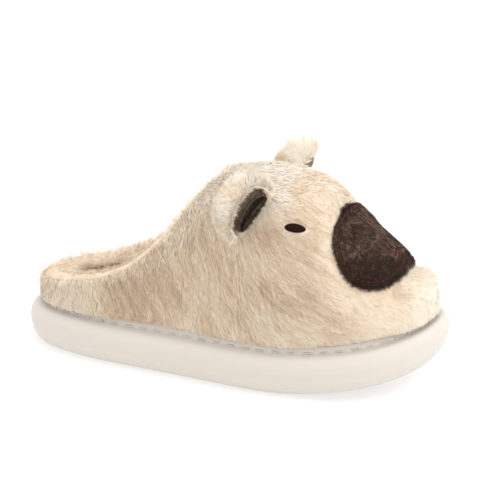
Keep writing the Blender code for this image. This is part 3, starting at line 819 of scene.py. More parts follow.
# %% Pile colour group
def pile_group(name):
    """Colour of a pile fibre from its tone, its place from root to tip and a random number."""
    group = bpy.data.node_groups.new(name, "ShaderNodeTree")
    group.interface.new_socket("Fur", in_out="INPUT", socket_type="NodeSocketVector")
    for key in ("Dark", "Mid", "Pale"):
        group.interface.new_socket(key, in_out="INPUT", socket_type="NodeSocketColor")
    group.interface.new_socket("Root Shade", in_out="INPUT", socket_type="NodeSocketFloat")
    group.interface.new_socket("Color", in_out="OUTPUT", socket_type="NodeSocketColor")
    nodes, links = group.nodes, group.links
    start, end = nodes.new("NodeGroupInput"), nodes.new("NodeGroupOutput")
    split = nodes.new("ShaderNodeSeparateXYZ")
    links.new(start.outputs["Fur"], split.inputs[0])
    vary = nodes.new("ShaderNodeMath")
    vary.operation = "MULTIPLY_ADD"
    vary.inputs[1].default_value, vary.inputs[2].default_value = 0.40, -0.20
    links.new(split.outputs["Z"], vary.inputs[0])
    tone = nodes.new("ShaderNodeMath")
    tone.operation = "ADD"
    links.new(split.outputs["X"], tone.inputs[0])
    links.new(vary.outputs[0], tone.inputs[1])
    low, high = nodes.new("ShaderNodeMapRange"), nodes.new("ShaderNodeMapRange")
    for step, start_at, end_at in ((low, 0.0, 0.5), (high, 0.5, 1.0)):
        step.inputs["From Min"].default_value, step.inputs["From Max"].default_value = start_at, end_at
        links.new(tone.outputs[0], step.inputs["Value"])
    first, second = nodes.new("ShaderNodeMix"), nodes.new("ShaderNodeMix")
    for mix, factor in ((first, low), (second, high)):
        mix.data_type = "RGBA"
        links.new(factor.outputs["Result"], mix.inputs["Factor"])
    links.new(start.outputs["Dark"], first.inputs["A"])
    links.new(start.outputs["Mid"], first.inputs["B"])
    links.new(first.outputs["Result"], second.inputs["A"])
    links.new(start.outputs["Pale"], second.inputs["B"])
    # Painted shade: the colour darkens towards the root, where the pile shades itself.
    shade = nodes.new("ShaderNodeMapRange")
    shade.inputs["From Min"].default_value, shade.inputs["From Max"].default_value = 0.0, 0.65
    links.new(split.outputs["Y"], shade.inputs["Value"])
    links.new(start.outputs["Root Shade"], shade.inputs["To Min"])
    shade.inputs["To Max"].default_value = 1.0
    final = nodes.new("ShaderNodeMix")
    final.data_type, final.blend_type = "RGBA", "MULTIPLY"
    final.inputs["Factor"].default_value = 1.0
    links.new(second.outputs["Result"], final.inputs["A"])
    links.new(shade.outputs["Result"], final.inputs["B"])
    links.new(final.outputs["Result"], end.inputs["Color"])
    return group


PILE = pile_group("pile colour")


def pile_material(name, colours, root_shade, roughness, sheen, specular=0.25):
    """A fibre material that reads the point attribute `fur` and mixes dark, mid and pale by it."""
    material, tree, shader = new_material(name, roughness, sheen, specular)
    fact = tree.nodes.new("ShaderNodeAttribute")
    fact.attribute_name = "fur"
    group = tree.nodes.new("ShaderNodeGroup")
    group.node_tree = PILE
    tree.links.new(fact.outputs["Vector"], group.inputs["Fur"])
    for key, colour in zip(("Dark", "Mid", "Pale"), colours):
        group.inputs[key].default_value = (*COLOURS[colour], 1.0)
    group.inputs["Root Shade"].default_value = root_shade
    tree.links.new(group.outputs["Color"], shader.inputs["Base Color"])
    return material


print("pile group sockets:", len(PILE.interface.items_tree))

# %% The finishes
FUR_PILE = pile_material("fur pile", ("fur_dark", "fur_mid", "fur_pale"), 0.86, 0.85, 0.25)
NOSE_PILE = pile_material("nose pile", ("nose_dark", "nose_mid", "nose_pale"), 0.35, 0.80, 0.08, 0.10)
LINING_PILE = pile_material(
    "lining pile", ("lining_dark", "lining_mid", "lining_pale"), 0.5, 0.8, 0.15, 0.15
)
# The fur cloth mixes in the darker cloth tan, partly as painted shade in the partings.
FUR_CLOTH = grain_material("fur cloth", "fur_mid", "cloth", 60.0, 0.95, 0.3)
PALE_CLOTH = grain_material("pale cloth", "fur_pale", "fur_mid", 60.0, 0.95, 0.3)
NOSE_CLOTH = grain_material("nose cloth", "nose_mid", "nose_dark", 90.0, 0.9, 0.5, 0.0, 0.1)
LINING_CLOTH = grain_material("lining cloth", "lining_mid", "lining_dark", 90.0, 0.95, 0.4, 0.0, 0.1)
FOAM = grain_material("moulded foam", "foam", "foam", 30.0, 0.50, 0.06, 0.0, 0.35)
FOAM_SHADER = FOAM.node_tree.nodes["Principled BSDF"]
FOAM_SHADER.inputs["Subsurface Weight"].default_value = 0.5
FOAM_SHADER.inputs["Subsurface Scale"].default_value = 0.006
FOAM_SHADER.inputs["Subsurface Radius"].default_value = (1.0, 0.85, 0.70)
STITCH = plain_material("sole thread", "foam", 0.7)
SEAM = plain_material("nose thread", "thread", 0.8, 0.0, 0.10)
EYE = plain_material("eye thread", "eye", 0.85, 0.0, 0.08)
print("materials:", ", ".join(sorted(material.name for material in bpy.data.materials)))

# %% [markdown]
# ## Foam sole
# The outsole is one moulding with a rounded side wall, a raised lip that the upper is stitched to, and
# cross grooves underneath. It could be a bevelled extrusion. Here its section is drawn once as a line
# of insets and heights and carried round the plan outline, so the bulge keeps its shape at the toe and
# the heel. Slots for the stitches and the tread are pressed in by moving the grid's own points.

# %% Sole section
# A soft fillet leads from the side wall up to the lip.
FILLET = 0.0048
SIDE_RINGS = 44
EDGE_RINGS = 40


def smooth_section(rows, count):
    """The section's (inset, height) rows as a finely spaced line with small rounded corners."""
    line = evenly(np.array(rows), count)
    for _ in range(2):
        line[1:-1] = (line[:-2] + 2 * line[1:-1] + line[2:]) / 4
    return line


def sole_section():
    """Insets and heights of the sole's rings: two quarter ellipses, then fillet, lip and cup."""
    side, lip = [], SOLE_HEIGHT + LIP_HEIGHT
    for turn in np.radians((0, 18, 38, 62, 90)):
        side.append((BULGE_IN_BELOW * (1 - math.sin(turn)), BULGE_HEIGHT * (1 - math.cos(turn))))
    for turn in np.radians((28, 52, 74, 90)):
        rise = (SOLE_HEIGHT - BULGE_HEIGHT) * math.sin(turn)
        side.append((BULGE_IN_ABOVE * (1 - math.cos(turn)), BULGE_HEIGHT + rise))
    edge = [
        (LIP_INSET - FILLET, SOLE_HEIGHT + 0.0001),
        (LIP_INSET - 0.50 * FILLET, SOLE_HEIGHT + 0.0007),
        (LIP_INSET - 0.18 * FILLET, SOLE_HEIGHT + 0.0020),
        (LIP_INSET, lip - 0.3 * LIP_THICKNESS),
        (LIP_INSET + 0.3 * LIP_THICKNESS, lip),
        (LIP_INSET + 0.7 * LIP_THICKNESS, lip),
        (LIP_INSET + LIP_THICKNESS, lip - 0.3 * LIP_THICKNESS),
        (LIP_INSET + LIP_THICKNESS, FLOOR_HEIGHT),
    ]
    return np.vstack([smooth_section(side, SIDE_RINGS), smooth_section(edge, EDGE_RINGS)])


print("rings in the sole's section:", len(sole_section()))

# %% Slots and tread
# Pitch, length, height and depth of the slots, how high they lie over the sole's shoulder, and how
# wide the soft edge of a pressed shape is.
SLOT_PITCH = 0.0100
SLOT_LENGTH = 0.0050
SLOT_HEIGHT = 0.0012
SLOT_DEPTH = 0.0013
SLOT_RISE = 0.0010
PRESSED_EDGE = 0.0006


def press_slots(wall, section, outline):
    """Presses slots into the lip's foot: depth * (1 along the slot, else 0) * (1 at its height, else 0)."""
    step = np.linalg.norm(np.roll(outline, -1, 0) - outline, axis=1)
    run = np.concatenate([[0.0], np.cumsum(step)[:-1]])
    pitch = step.sum() / round(step.sum() / SLOT_PITCH)
    phase = np.abs((run / pitch + 0.5) % 1 - 0.5) * pitch
    slot = soft_step(SLOT_LENGTH / 2 - phase, PRESSED_EDGE)
    above = np.abs(section[:, 1] - SOLE_HEIGHT - SLOT_RISE)
    level = soft_step(SLOT_HEIGHT / 2 - above, 0.0005)
    on_lip = (np.arange(len(section)) > SIDE_RINGS) & (section[:, 0] < LIP_INSET + 0.2 * LIP_THICKNESS)
    inward = unit(ring(outline, 0.001, 0.0) - ring(outline, 0.0, 0.0))
    depth = SLOT_DEPTH * slot * (level * on_lip)[:, None]
    return wall + inward * depth[..., None], run, pitch


def pressed_base(rim):
    """The underside: rings that shrink to the middle line, lifted by the tread's depth in each groove."""
    under = fan(rim, np.linspace(1, 0, 26)[1:])
    x, y = under[..., 0], under[..., 1]
    starts = [HEEL_TREAD_START + TREAD_PITCH * k for k in range(HEEL_TREADS)]
    starts += [FOREFOOT_TREAD_START + TREAD_PITCH * k for k in range(FOREFOOT_TREADS)]
    near = np.min([np.abs(x - start) for start in starts], axis=0)
    edge = np.abs(rim[:, 1])[None, :] - (TREAD_MARGIN - BULGE_IN_BELOW)
    under[..., 2] += TREAD_DEPTH * soft_step(TREAD_WIDTH / 2 - near, PRESSED_EDGE) * (np.abs(y) < edge)
    return under


def make_sole():
    """The section carried round the outline, closed by the base below and the cup's floor above."""
    outline = sole_outline(360)
    section = sole_section()
    wall = np.stack([ring(outline, inset, height) for inset, height in section])
    wall, run, pitch = press_slots(wall, section, outline)
    floor = fan(wall[-1], np.linspace(1, 0, 6)[1:])
    obj = grid_mesh("foam_sole", np.vstack([pressed_base(wall[0])[::-1], wall, floor]), True, FOAM)
    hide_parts("sole")
    return outline, run, pitch


SOLE_OUTLINE, SOLE_RUN, SLOT_STEP = make_sole()
print("sole made, slots every", round(SLOT_STEP * 1000, 2), "mm")

# %% Thread and the sole's stitches
# Radius of the thread, and the share of a slot's length that it fills.
STITCH_RADIUS = 0.00046
STITCH_SHARE = 0.86


def tube(path, radius, sides=6):
    """Points and quads of a tube along a path (n, 3): circles across it, small at both ends."""
    path = np.asarray(path, float)
    ahead = unit(np.gradient(path, axis=0))
    lean = np.eye(3)[np.argmin(np.abs(ahead).mean(0))]
    one = unit(np.cross(ahead, lean))
    two = np.cross(ahead, one)
    turn = np.linspace(0, 2 * math.pi, sides, endpoint=False)
    size = np.full(len(path), radius)
    size[[0, -1]] *= 0.15
    size[[1, -2]] *= 0.8
    rim = one[:, None] * np.cos(turn)[None, :, None] + two[:, None] * np.sin(turn)[None, :, None]
    points = path[:, None] + rim * size[:, None, None]
    return points.reshape(-1, 3), grid_quads(len(path), sides, True)


def join(parts):
    """Joins (points, quads) pairs into one pair."""
    points, quads, base = [], [], 0
    for p, q in parts:
        points.append(p)
        quads.append(q + base)
        base += len(p)
    return np.vstack(points), np.vstack(quads)


def make_sole_stitches(outline, run, pitch):
    """White thread in each slot of the lip: short tubes at even steps along one ring."""
    total = run[-1] + np.linalg.norm(outline[0] - outline[-1])
    line = ring(outline, LIP_INSET - 0.43 * FILLET + SLOT_DEPTH * 0.35, SOLE_HEIGHT + SLOT_RISE)
    line = np.vstack([line, line[:1]])
    reach_out = np.linspace(-SLOT_LENGTH / 2, SLOT_LENGTH / 2, 6) * STITCH_SHARE
    parts = []
    for k in range(round(total / pitch)):
        want = (k * pitch + reach_out) % total
        parts.append(tube(at_distances(want, np.append(run, total), line), STITCH_RADIUS))
    points, quads = join(parts)
    obj = make_mesh("sole_stitches", points, [quads], STITCH)
    return len(parts)


print("stitches:", make_sole_stitches(SOLE_OUTLINE, SOLE_RUN, SLOT_STEP))

# %% [markdown]
# ## Upper cloth and footbed
# The upper is sewn from fur fabric over padding: it swells below, rolls over at the collar and tucks
# in behind the lip. A cloth simulation could hang it, but the padding holds a sewn shape. So its rows
# are read from the last form between the lip and the topline, then drawn in along seams and folds and
# let out where it is fuller. Each trough is a bell curve, depth * exp(-(distance / width)^2).

# %% Seams, folds and dimples
# Place, depth and width of the side seam, of the fold beside the mouth and of the dip in the bridge.
SEAM_X, SEAM_DEPTH, SEAM_WIDTH = 0.0165, 0.0016, 0.0028
CHEEK_FOLD, CHEEK_DEPTH, CHEEK_WIDTH = (0.1130, 0.0240, 0.0640), 0.0036, 0.0048
BRIDGE_X, BRIDGE_DEPTH, BRIDGE_WIDTH = 0.0755, 0.0035, 0.0085


def bridge_dip(x, y):
    """Depth of the dip over the bridge of the nose: a bell round its middle, wider across than along."""
    return BRIDGE_DEPTH * bell(np.hypot(x - BRIDGE_X, np.abs(y) * 0.6 - 0.002), BRIDGE_WIDTH)


def soft_shape(points):
    """How far plush stands out or in at each point, in metres: troughs plus slow and quick noise."""
    flat = points.reshape(-1, 3)
    x, y, z = flat.T
    below_ear = np.clip((0.093 - z) / 0.012, 0, 1) * np.clip((z - 0.028) / 0.010, 0, 1)
    seam = SEAM_DEPTH * bell(x - SEAM_X, SEAM_WIDTH) * below_ear * (np.abs(y) > 0.02)
    fold_x, fold_y, fold_z = CHEEK_FOLD
    away = np.hypot(np.hypot(x - fold_x, np.abs(y) - fold_y), z - fold_z)
    fold = CHEEK_DEPTH * bell(away, CHEEK_WIDTH)
    dip = bridge_dip(x, y) * (z > 0.085)
    swell = 0.0011 * (noise(flat / 0.022, 41) - 0.5) + 0.0006 * (noise(flat / 0.009, 42) - 0.5)
    return (swell - seam - fold - dip).reshape(points.shape[:-1])


print("dip over the bridge:", round(float(bridge_dip(BRIDGE_X, 0.0)) * 1000, 1), "mm")

# %% Upper
# How far the collar's padding stands inwards, and how much of the hollow under the widest line the
# cloth fills. Columns and rows of the grid.
COLLAR_PAD = 0.0040
HEM_FILL = 0.45
UPPER_COLUMNS, UPPER_ROWS = 220, 84


def fill_hem(outer, outline):
    """Lets the cloth out under its widest line, by a share of how far it stands back from that line."""
    outward = unit(ring(outline, 0.0, 0.0) - ring(outline, 0.001, 0.0))
    stand = ((outer - outer[:1]) * outward).sum(-1)
    widest = np.argmax(stand[:40], axis=0)
    below = np.arange(len(outer))[:, None] < widest
    room = (stand[widest, np.arange(UPPER_COLUMNS)] - stand) * below
    return outer + outward * (HEM_FILL * room)[..., None]


def rolled_collar(outer, inner):
    """Half circles from the outside to the inside: middle + half * cos(turn) + up * round * sin(turn)."""
    along = unit(outer[-1] - outer[-3])
    middle, half = (outer[-1] + inner[-1]) / 2, (outer[-1] - inner[-1]) / 2
    turns = np.radians(np.linspace(0, 180, 17)[1:-1])[:, None, None]
    return middle + half * np.cos(turns) + along * COLLAR_ROUND * np.sin(turns)


def make_upper():
    """Outside, collar and inside as one grid. Returns the parts that carry body and collar fur."""
    outline = sole_outline(UPPER_COLUMNS)
    shares = np.linspace(0, 1, UPPER_ROWS) ** 1.1
    start, way, outer = sweep(UPPER_COLUMNS, shares)
    lean = np.clip((way * surface_normals(outer)).sum(-1), 0.6, 1.0)
    thick = WALL + (COLLAR_WALL - WALL) * np.clip((shares - 0.7) / 0.3, 0, 1)[:, None] ** 2
    pad = COLLAR_PAD * bell(1 - shares, 0.14)[:, None]
    inner = outer - way * ((thick + pad) / lean)[..., None]
    outer = fill_hem(outer + surface_normals(outer) * soft_shape(outer)[..., None], outline)
    collar = rolled_collar(outer, inner)
    skirt = LIP_INSET + LIP_THICKNESS + GAP + SKIRT_WALL
    high, low = SOLE_HEIGHT + LIP_HEIGHT - 0.001, FLOOR_HEIGHT + GAP
    foot = np.stack([ring(outline, skirt, high), ring(outline, skirt, low)])
    tuck = ring(outline, LIP_INSET + 0.3 * LIP_THICKNESS, SOLE_HEIGHT + LIP_HEIGHT + GAP)
    outside = np.vstack([tuck[None], outer])
    inside = np.vstack([collar, inner[::-4][:-2], foot])
    obj = grid_mesh("upper_cloth", np.vstack([outside, inside]), True, FUR_CLOTH)
    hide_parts("upper")
    return outside, np.vstack([outer[-8:], collar, inner[::-1][:44]])


OUTER, COLLAR = make_upper()
print("upper cloth:", OUTER.shape, "collar:", COLLAR.shape)

# %% Footbed
def make_footbed():
    """The insole as a padded sheet between the walls: its edge rings, closed above and below by fans."""
    outline = sole_outline(200)
    edge = LIP_INSET + LIP_THICKNESS + GAP + SKIRT_WALL + GAP
    low, high = FLOOR_HEIGHT + GAP, FLOOR_HEIGHT + GAP + INSOLE_THICKNESS
    rows = (
        (edge + 0.001, low),
        (edge, low + 0.0015),
        (edge, high - 0.0015),
        (edge + 0.0015, high),
        (edge + 0.006, high - 0.0004),
        (edge + 0.012, high - 0.0012),
    )
    sides = np.stack([ring(outline, inset, height) for inset, height in rows])
    top = fan(sides[-1], np.linspace(1, 0, 12)[1:])
    under = fan(sides[0], np.linspace(0, 1, 4)[:-1])
    obj = grid_mesh("footbed", np.vstack([under, sides, top]), True, FUR_CLOTH)
    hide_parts("insole")
    return np.vstack([sides[3:], top])


FOOTBED = make_footbed()
print("footbed:", FOOTBED.shape)

# %% [markdown]
# ## Fur
# The pile of the real upper lies down and forward on the rear, nearly level over the face and outward
# along the lower edge. Blades stand on the cloth along that nap. Nose, eyes and ears are sewn or
# stitched on, so the pile stops at their outlines: a random place is used only where none of them
# covers it, and a blade whose tip would lie on an eye is left out.

# %% Nap
def nap(points, up):
    """Direction of the pile along the cloth: a slope that levels out over the face, hem and crown."""
    x, z = points[:, 0], points[:, 2]
    face = np.clip((x - 0.020) / 0.030, 0, 1)
    slope = np.radians(58 - 30 * face)
    way = np.column_stack([np.cos(slope), np.zeros(len(x)), -np.sin(slope)])
    hem = np.clip((lip_top(x) + 0.009 - z) / 0.009, 0, 1)[:, None]
    way = way * (1 - hem) + np.array([0.7, 0.0, -0.9]) * hem
    top = np.clip((up[:, 2] - 0.55) / 0.4, 0, 1)[:, None]
    way = way * (1 - top) + np.array([0.9, 0.0, -0.2]) * top
    return lay(way, up)


print("nap at the eye:", nap(EYES[0][0][None], surface_normals(EYES[0][0])[None]).round(2).tolist())

# %% Outline of the nose
# How far the sewn patch draws in over the bridge, at the front and at its upper corners, and the
# corners' angle and width.
NOSE_BACK, NOSE_FRONT, NOSE_CORNER = 0.10, 0.06, 0.10
CORNER_TURN, CORNER_WIDTH = 2.36, 0.42


def nose_radius(turn):
    """Plan radius of the nose outline at an angle from the toe direction.

    radius = outline * (1 - back * min(0, cos turn)^2 - front * max(0, cos turn)^2 - corner * bump)."""
    half = curve_through([(math.radians(a), share) for a, share in NOSE_OUTLINE], 200)
    back, front = np.clip(-np.cos(turn), 0, 1) ** 2, np.clip(np.cos(turn), 0, 1) ** 2
    bump = bell(np.abs(turn) - CORNER_TURN, CORNER_WIDTH)
    drawn_in = 1 - NOSE_BACK * back - NOSE_FRONT * front - NOSE_CORNER * bump
    return NOSE_WIDTH * np.interp(np.abs(turn), half[:, 0], half[:, 1]) * drawn_in


def off_nose(points, grow=0.0):
    """True where a point is outside the nose patch, made larger all round by a distance."""
    p, q = points[:, 0] - NOSE_MIDDLE, points[:, 1]
    above = points[:, 2] > bulge_level(points[:, 0]) + 0.004
    return (np.hypot(p, q) > nose_radius(np.arctan2(q, p)) + grow) | ~above


print("nose radius to the side:", round(float(nose_radius(math.pi / 2)) * 1000, 1), "mm")

# %% Room round the eyes and ears
# The right ear stands a little further out on the head than its solid.
EAR_DROP = {"right": 0.0012, "left": 0.0}
EAR_LEAN = {"right": EAR_LEAN_RIGHT, "left": EAR_LEAN_LEFT}
EARS = {}
for ear_name, ear_side in (("right", -1), ("left", 1)):
    ear_middle, ear_long, ear_facing = frame_at(EAR_X, ear_side * (EAR_Y + EAR_DROP[ear_name]), EAR_SLOPE)
    ear_facing = -ear_facing if ear_facing[0] < 0 else ear_facing
    EARS[ear_name] = (ear_middle, ear_long, ear_facing, EAR_LEAN[ear_name])


def off_eyes(points):
    """True outside both eyes: (along / a)^2 + (across / b)^2 > 1, with a little room for the stitches."""
    clear = np.ones(len(points), bool)
    for middle, along, across in EYES:
        away = points - middle
        p, q = away @ along, away @ across
        near = (away**2).sum(1) < EYE_LENGTH**2
        clear &= ((p / (EYE_LENGTH * 0.53)) ** 2 + (q / (EYE_HEIGHT * 0.56)) ** 2 > 1) | ~near
    return clear


def eye_room(points):
    """Shortens the pile behind an eye so that its tips only reach the eye's edge."""
    room = np.ones(len(points))
    for middle, along, across in EYES:
        away = points - middle
        p, q = away @ along + 0.002, away @ across
        near = (away**2).sum(1) < (2 * EYE_LENGTH) ** 2
        short = np.clip(0.30 + (np.hypot(p, 1.6 * q) - EYE_LENGTH * 0.5) / 0.006, 0.30, 1)
        room = np.minimum(room, np.where(near, short, 1.0))
    return room


def ear_shade(points):
    """How free a point is of the ears: 0 under a hood, rising to 1 a few millimetres away from it."""
    free = np.ones(len(points))
    for middle, along, facing, _ in EARS.values():
        away = points - middle
        p, q = away @ along / EAR_HALF_LENGTH, away @ facing
        q = np.where(q < 0, q / EAR_DEPTH, q / 0.0028)
        near = (away**2).sum(1) < (2 * EAR_HALF_LENGTH) ** 2
        free = np.minimum(free, np.where(near, np.clip((np.hypot(p, q) - 0.95) / 0.35, 0, 1), 1.0))
    return free


print("right ear at:", EARS["right"][0].round(4).tolist())

# %% Body fur
# The stations between which each zone's blades stand.
FOREPART, SNOUT = 0.002, 0.068
BEHIND_HEEL, BEFORE_TOE = -0.2, 0.2


def body_keep(low, high):
    """Gives 1 for places between two stations that no patch covers, and 0 for all others."""

    def keep(points):
        inside = (points[:, 0] > low) & (points[:, 0] <= high)
        bare = off_nose(points, -0.0005) & off_eyes(points) & (ear_shade(points) > 0)
        return (inside & bare).astype(float)

    return keep


def pile_length(points):
    """Share of the full length: less round the nose, at the hem, under the ears and behind the eyes."""
    around = np.clip((np.hypot(points[:, 0] - NOSE_MIDDLE, points[:, 1]) - 0.040) / 0.02, 0, 1)
    near_hem = np.clip((points[:, 2] - lip_top(points[:, 0]) - 0.001) / 0.008, 0, 1)
    ears = 0.55 + 0.45 * ear_shade(points)
    return (0.72 + 0.28 * around) * (0.68 + 0.32 * near_hem) * ears * eye_room(points)


def body_fur(name, zone, low, high, seed):
    """Blades of one zone between two stations, without those whose middle or tip is over an eye."""
    spec, rng = FUR[zone], np.random.default_rng(seed)
    root, up, _ = scatter(OUTER[1:], True, spec["count"], rng, body_keep(low, high))
    along = nap(root, up)
    tone = fur_tone(root, along)
    scale = pile_length(root)
    to_tip = along * (0.00095 * spec["length"] * scale)[:, None]
    free = off_eyes(root + to_tip) & off_eyes(root + 0.5 * to_tip)
    obj = blades(name, root[free], up[free], along[free], spec, tone[free], FUR_PILE, rng, scale[free])
    return int(free.sum())


print("quarter blades:", body_fur("quarter_fur", "quarters", BEHIND_HEEL, FOREPART, 1))
print("head blades:", body_fur("head_fur", "head", FOREPART, SNOUT, 2))
print("muzzle blades:", body_fur("muzzle_fur", "muzzle", SNOUT, BEFORE_TOE, 3))

# %% Hem, collar and footbed fur
def hem_fur(seed):
    """Short pile on the lowest rows, combed down and forward so that it falls over the sole's lip."""
    spec, rng = FUR["hem"], np.random.default_rng(seed)
    root, up, _ = scatter(OUTER[:6], True, spec["count"], rng)
    along = lay(np.broadcast_to(np.array([0.45, 0.0, -1.0]), root.shape), up)
    obj = blades("hem_fur", root, up, along, spec, fur_tone(root, along), FUR_PILE, rng)
    return len(root)


def collar_fur(seed):
    """Pile on the rolled collar and down inside: its nap turns from outside over the top to the inside."""
    spec, rng = FUR["collar"], np.random.default_rng(seed)
    root, up, row = scatter(COLLAR, True, spec["count"], rng)
    outside = np.clip((12 - row) / 8, 0, 1)[:, None]
    deep = np.clip((row - 19) / 10, 0, 1)[:, None]
    way = np.array([0.6, 0.0, -0.8]) * outside + np.array([0.5, 0.0, -0.6]) * deep
    along = lay(way + np.array([0.8, 0.0, 0.2]) * (1 - outside - deep), up)
    tone = 0.72 + 0.50 * (noise(root / 0.005, 8) - 0.5) - 0.30 * deep[:, 0] - 0.10 * outside[:, 0]
    obj = blades("collar_fur", root, up, along, spec, np.clip(tone, 0, 1), FUR_PILE, rng)
    return len(root)


def footbed_fur(seed):
    """Loose pile on the footbed that points forward and swings a little from side to side."""
    spec, rng = FUR["footbed"], np.random.default_rng(seed)
    root, up, _ = scatter(FOOTBED, True, spec["count"], rng)
    up = up * np.sign(up[:, 2:3])
    swing = 0.4 * (noise(root / 0.02, 9) - 0.5)
    along = unit(np.column_stack([np.ones(len(root)), swing, np.zeros(len(root))]))
    tone = np.clip(0.5 + 0.5 * (noise(root / 0.008, 10) - 0.5), 0, 1)
    obj = blades("footbed_fur", root, up, along, spec, tone, FUR_PILE, rng)
    return len(root)


print("hem, collar and footbed blades:", hem_fur(6), collar_fur(4), footbed_fur(5))

# %% [markdown]
# ## Ears
# Each ear is a quarter-round hood of pale fur with a dark plush lining. The hood is one grid: one
# parameter runs along its rim from tip to tip, the other from its base over its back to a soft roll at
# the rim. It could be a squashed sphere with a Solidify modifier, but the formula lets the rim lean
# and keeps its tips on the head. The lining is a second grid that puffs out below the rim.

# %% Ear shapes
# How far the fur rolls over each rim, how far the lining puffs out, how deep the slit below it is,
# how high the dark lobe stands in the opening, at which share of the height the lining ends, and how
# far in front of the hood it meets the head.
EAR_ROLL = 0.0026
EAR_PUFF = {"right": 0.0020, "left": 0.0055}
EAR_SLIT = 0.0070
EAR_LOBE = 0.0018
EAR_FOOT = 0.16
EAR_FRONT = 0.0026


def ear_hood(middle, long_way, facing, lean, turn, back, inner):
    """A quarter-round hood: turn runs along its rim from tip to tip, back runs from the rim to its rear.

    Along: -half length * cos(turn). Up: height * sin(turn) * cos(back).
    Out: depth * sin(turn) * sin(back)."""
    half_length = EAR_HALF_LENGTH - inner
    p = -half_length * np.cos(turn)
    tall = (EAR_HEIGHT - inner) * np.sin(turn) * np.cos(back)
    q = -(EAR_DEPTH - inner) * np.sin(turn) * np.sin(back) + lean * tall
    return tangent_map(middle, long_way, facing, p, q, tall)


def ear_inside(middle, long_way, facing, lean, puff_out):
    """The lining as one grid: a puffed face below the rim, a deep slit, then a dark lobe on the head."""
    columns = np.linspace(2 * EAR_TIP_TURN, math.pi - 2 * EAR_TIP_TURN, 44)
    half_length = EAR_HALF_LENGTH - EAR_WALL - 0.6 * EAR_ROLL
    high = EAR_HEIGHT - EAR_WALL - EAR_ROLL
    turn, down = np.meshgrid(columns, np.linspace(0, 1, 24))
    across = np.sin(turn)
    tall = high * across * (1 - (1 - EAR_FOOT) * down)
    dip = np.clip((down - 0.56) / 0.34, 0, 1)
    swell = puff_out * np.sin(math.pi * np.clip(down / 0.66, 0, 1)) ** 0.7
    puff = swell - EAR_SLIT * dip * dip * (3 - 2 * dip)
    p = -half_length * np.cos(turn)
    face = tangent_map(middle, long_way, facing, p, lean * tall + puff * across, tall)
    turn, share = np.meshgrid(columns, np.linspace(0, 1, 16)[1:])
    across = np.sin(turn)
    last = EAR_FOOT * high * across
    q = (lean * last - EAR_SLIT * across) * (1 - share) + EAR_FRONT * share * across
    lobe = EAR_LOBE * across * bell(share - 0.84, 0.14) * np.clip((1 - share) / 0.10, 0, 1)
    p = -half_length * np.cos(turn)
    floor = tangent_map(middle, long_way, facing, p, q, last * (1 - share) ** 2 + lobe + 0.0003)
    return np.vstack([face, floor])


def ear_outside(middle, long_way, facing, lean):
    """The hood's fur side as one grid: from its base over its back and round a half circle at the rim."""
    columns = np.linspace(EAR_TIP_TURN, math.pi - EAR_TIP_TURN, 52)
    turn, back = np.meshgrid(columns, np.linspace(math.pi / 2, 0, 26))
    shell = ear_hood(middle, long_way, facing, lean, turn, back, 0.0)
    turn, step = np.meshgrid(columns, np.linspace(0, 1, 9)[1:])
    rim = ear_hood(middle, long_way, facing, lean, turn, 0 * turn, 0.0)
    edge = ear_hood(middle, long_way, facing, lean, turn, 0 * turn, EAR_WALL)
    round_way = unit(edge - rim)
    width = (EAR_WALL + EAR_ROLL) * np.sin(turn) ** 0.5
    half = step * math.pi
    roll = rim + round_way * (width * (1 - np.cos(half)) / 2)[..., None]
    roll += facing * (EAR_ROLL * np.sin(half) * np.sin(turn) ** 0.5)[..., None]
    return np.vstack([shell, roll])


print("ear roll:", EAR_ROLL * 1000, "mm")

# %% Ear fur and pile
def ear_fur(name, outside, height, rng):
    """Pile on a hood: up and back over its rear, up at its front, shorter at the base and inner edge."""
    middle, long_way, facing, _ = EARS[name]
    spec = FUR["ear"]
    root, up, row = scatter(outside, False, spec["count"], rng)
    centre = middle - facing * (0.5 * EAR_DEPTH) + height * (0.35 * EAR_HEIGHT)
    up = up * np.sign(((root - centre) * up).sum(1))[:, None]
    front = np.clip((row - 20) / 6, 0, 1)[:, None]
    spread = long_way * ((root - middle) @ long_way)[:, None] / EAR_HALF_LENGTH
    way = (height + spread) * (0.5 + 0.5 * front) - facing * 0.7 * (1 - front) + facing * 0.10 * front
    low = np.clip((6 - row) / 6, 0, 1)
    tone = np.clip(0.88 + 0.6 * (noise(root / 0.006, 12) - 0.5) - 0.35 * low, 0, 1)
    scale = 1 - 0.25 * low - 0.50 * np.clip((row - 29) / 5, 0, 1)
    fur = blades(f"ear_{name}_fur", root, up, lay(way, up), spec, tone, FUR_PILE, rng, scale)


def ear_pile(name, lining, height, rng):
    """Short pile in a hood: outwards along its upper edge, then forward, with painted shade near the slit.
    """
    middle, _, facing, _ = EARS[name]
    spec = FUR["lining"]
    root, up, row = scatter(lining, False, spec["count"], rng)
    up = up * np.sign(((middle + facing * 0.030 + height * 0.012 - root) * up).sum(1))[:, None]
    first = np.clip(1 - row / 6, 0, 1)[:, None]
    way = (facing + 0.4 * height) * (1 - first) + (unit(root - middle) + 0.2 * facing) * first
    # Painted shade: the pile darkens from the middle rows down into the slit and over the lobe below it.
    tone = 0.80 - 0.75 * np.clip((row - 13) / 8, 0, 1) + 0.5 * (noise(root / 0.003, 13) - 0.5)
    tone = np.clip(tone, 0, 1)
    scale = 1 + 0.5 * first[:, 0]
    pile = blades(f"ear_{name}_pile", root, up, lay(way, up), spec, tone, LINING_PILE, rng, scale)


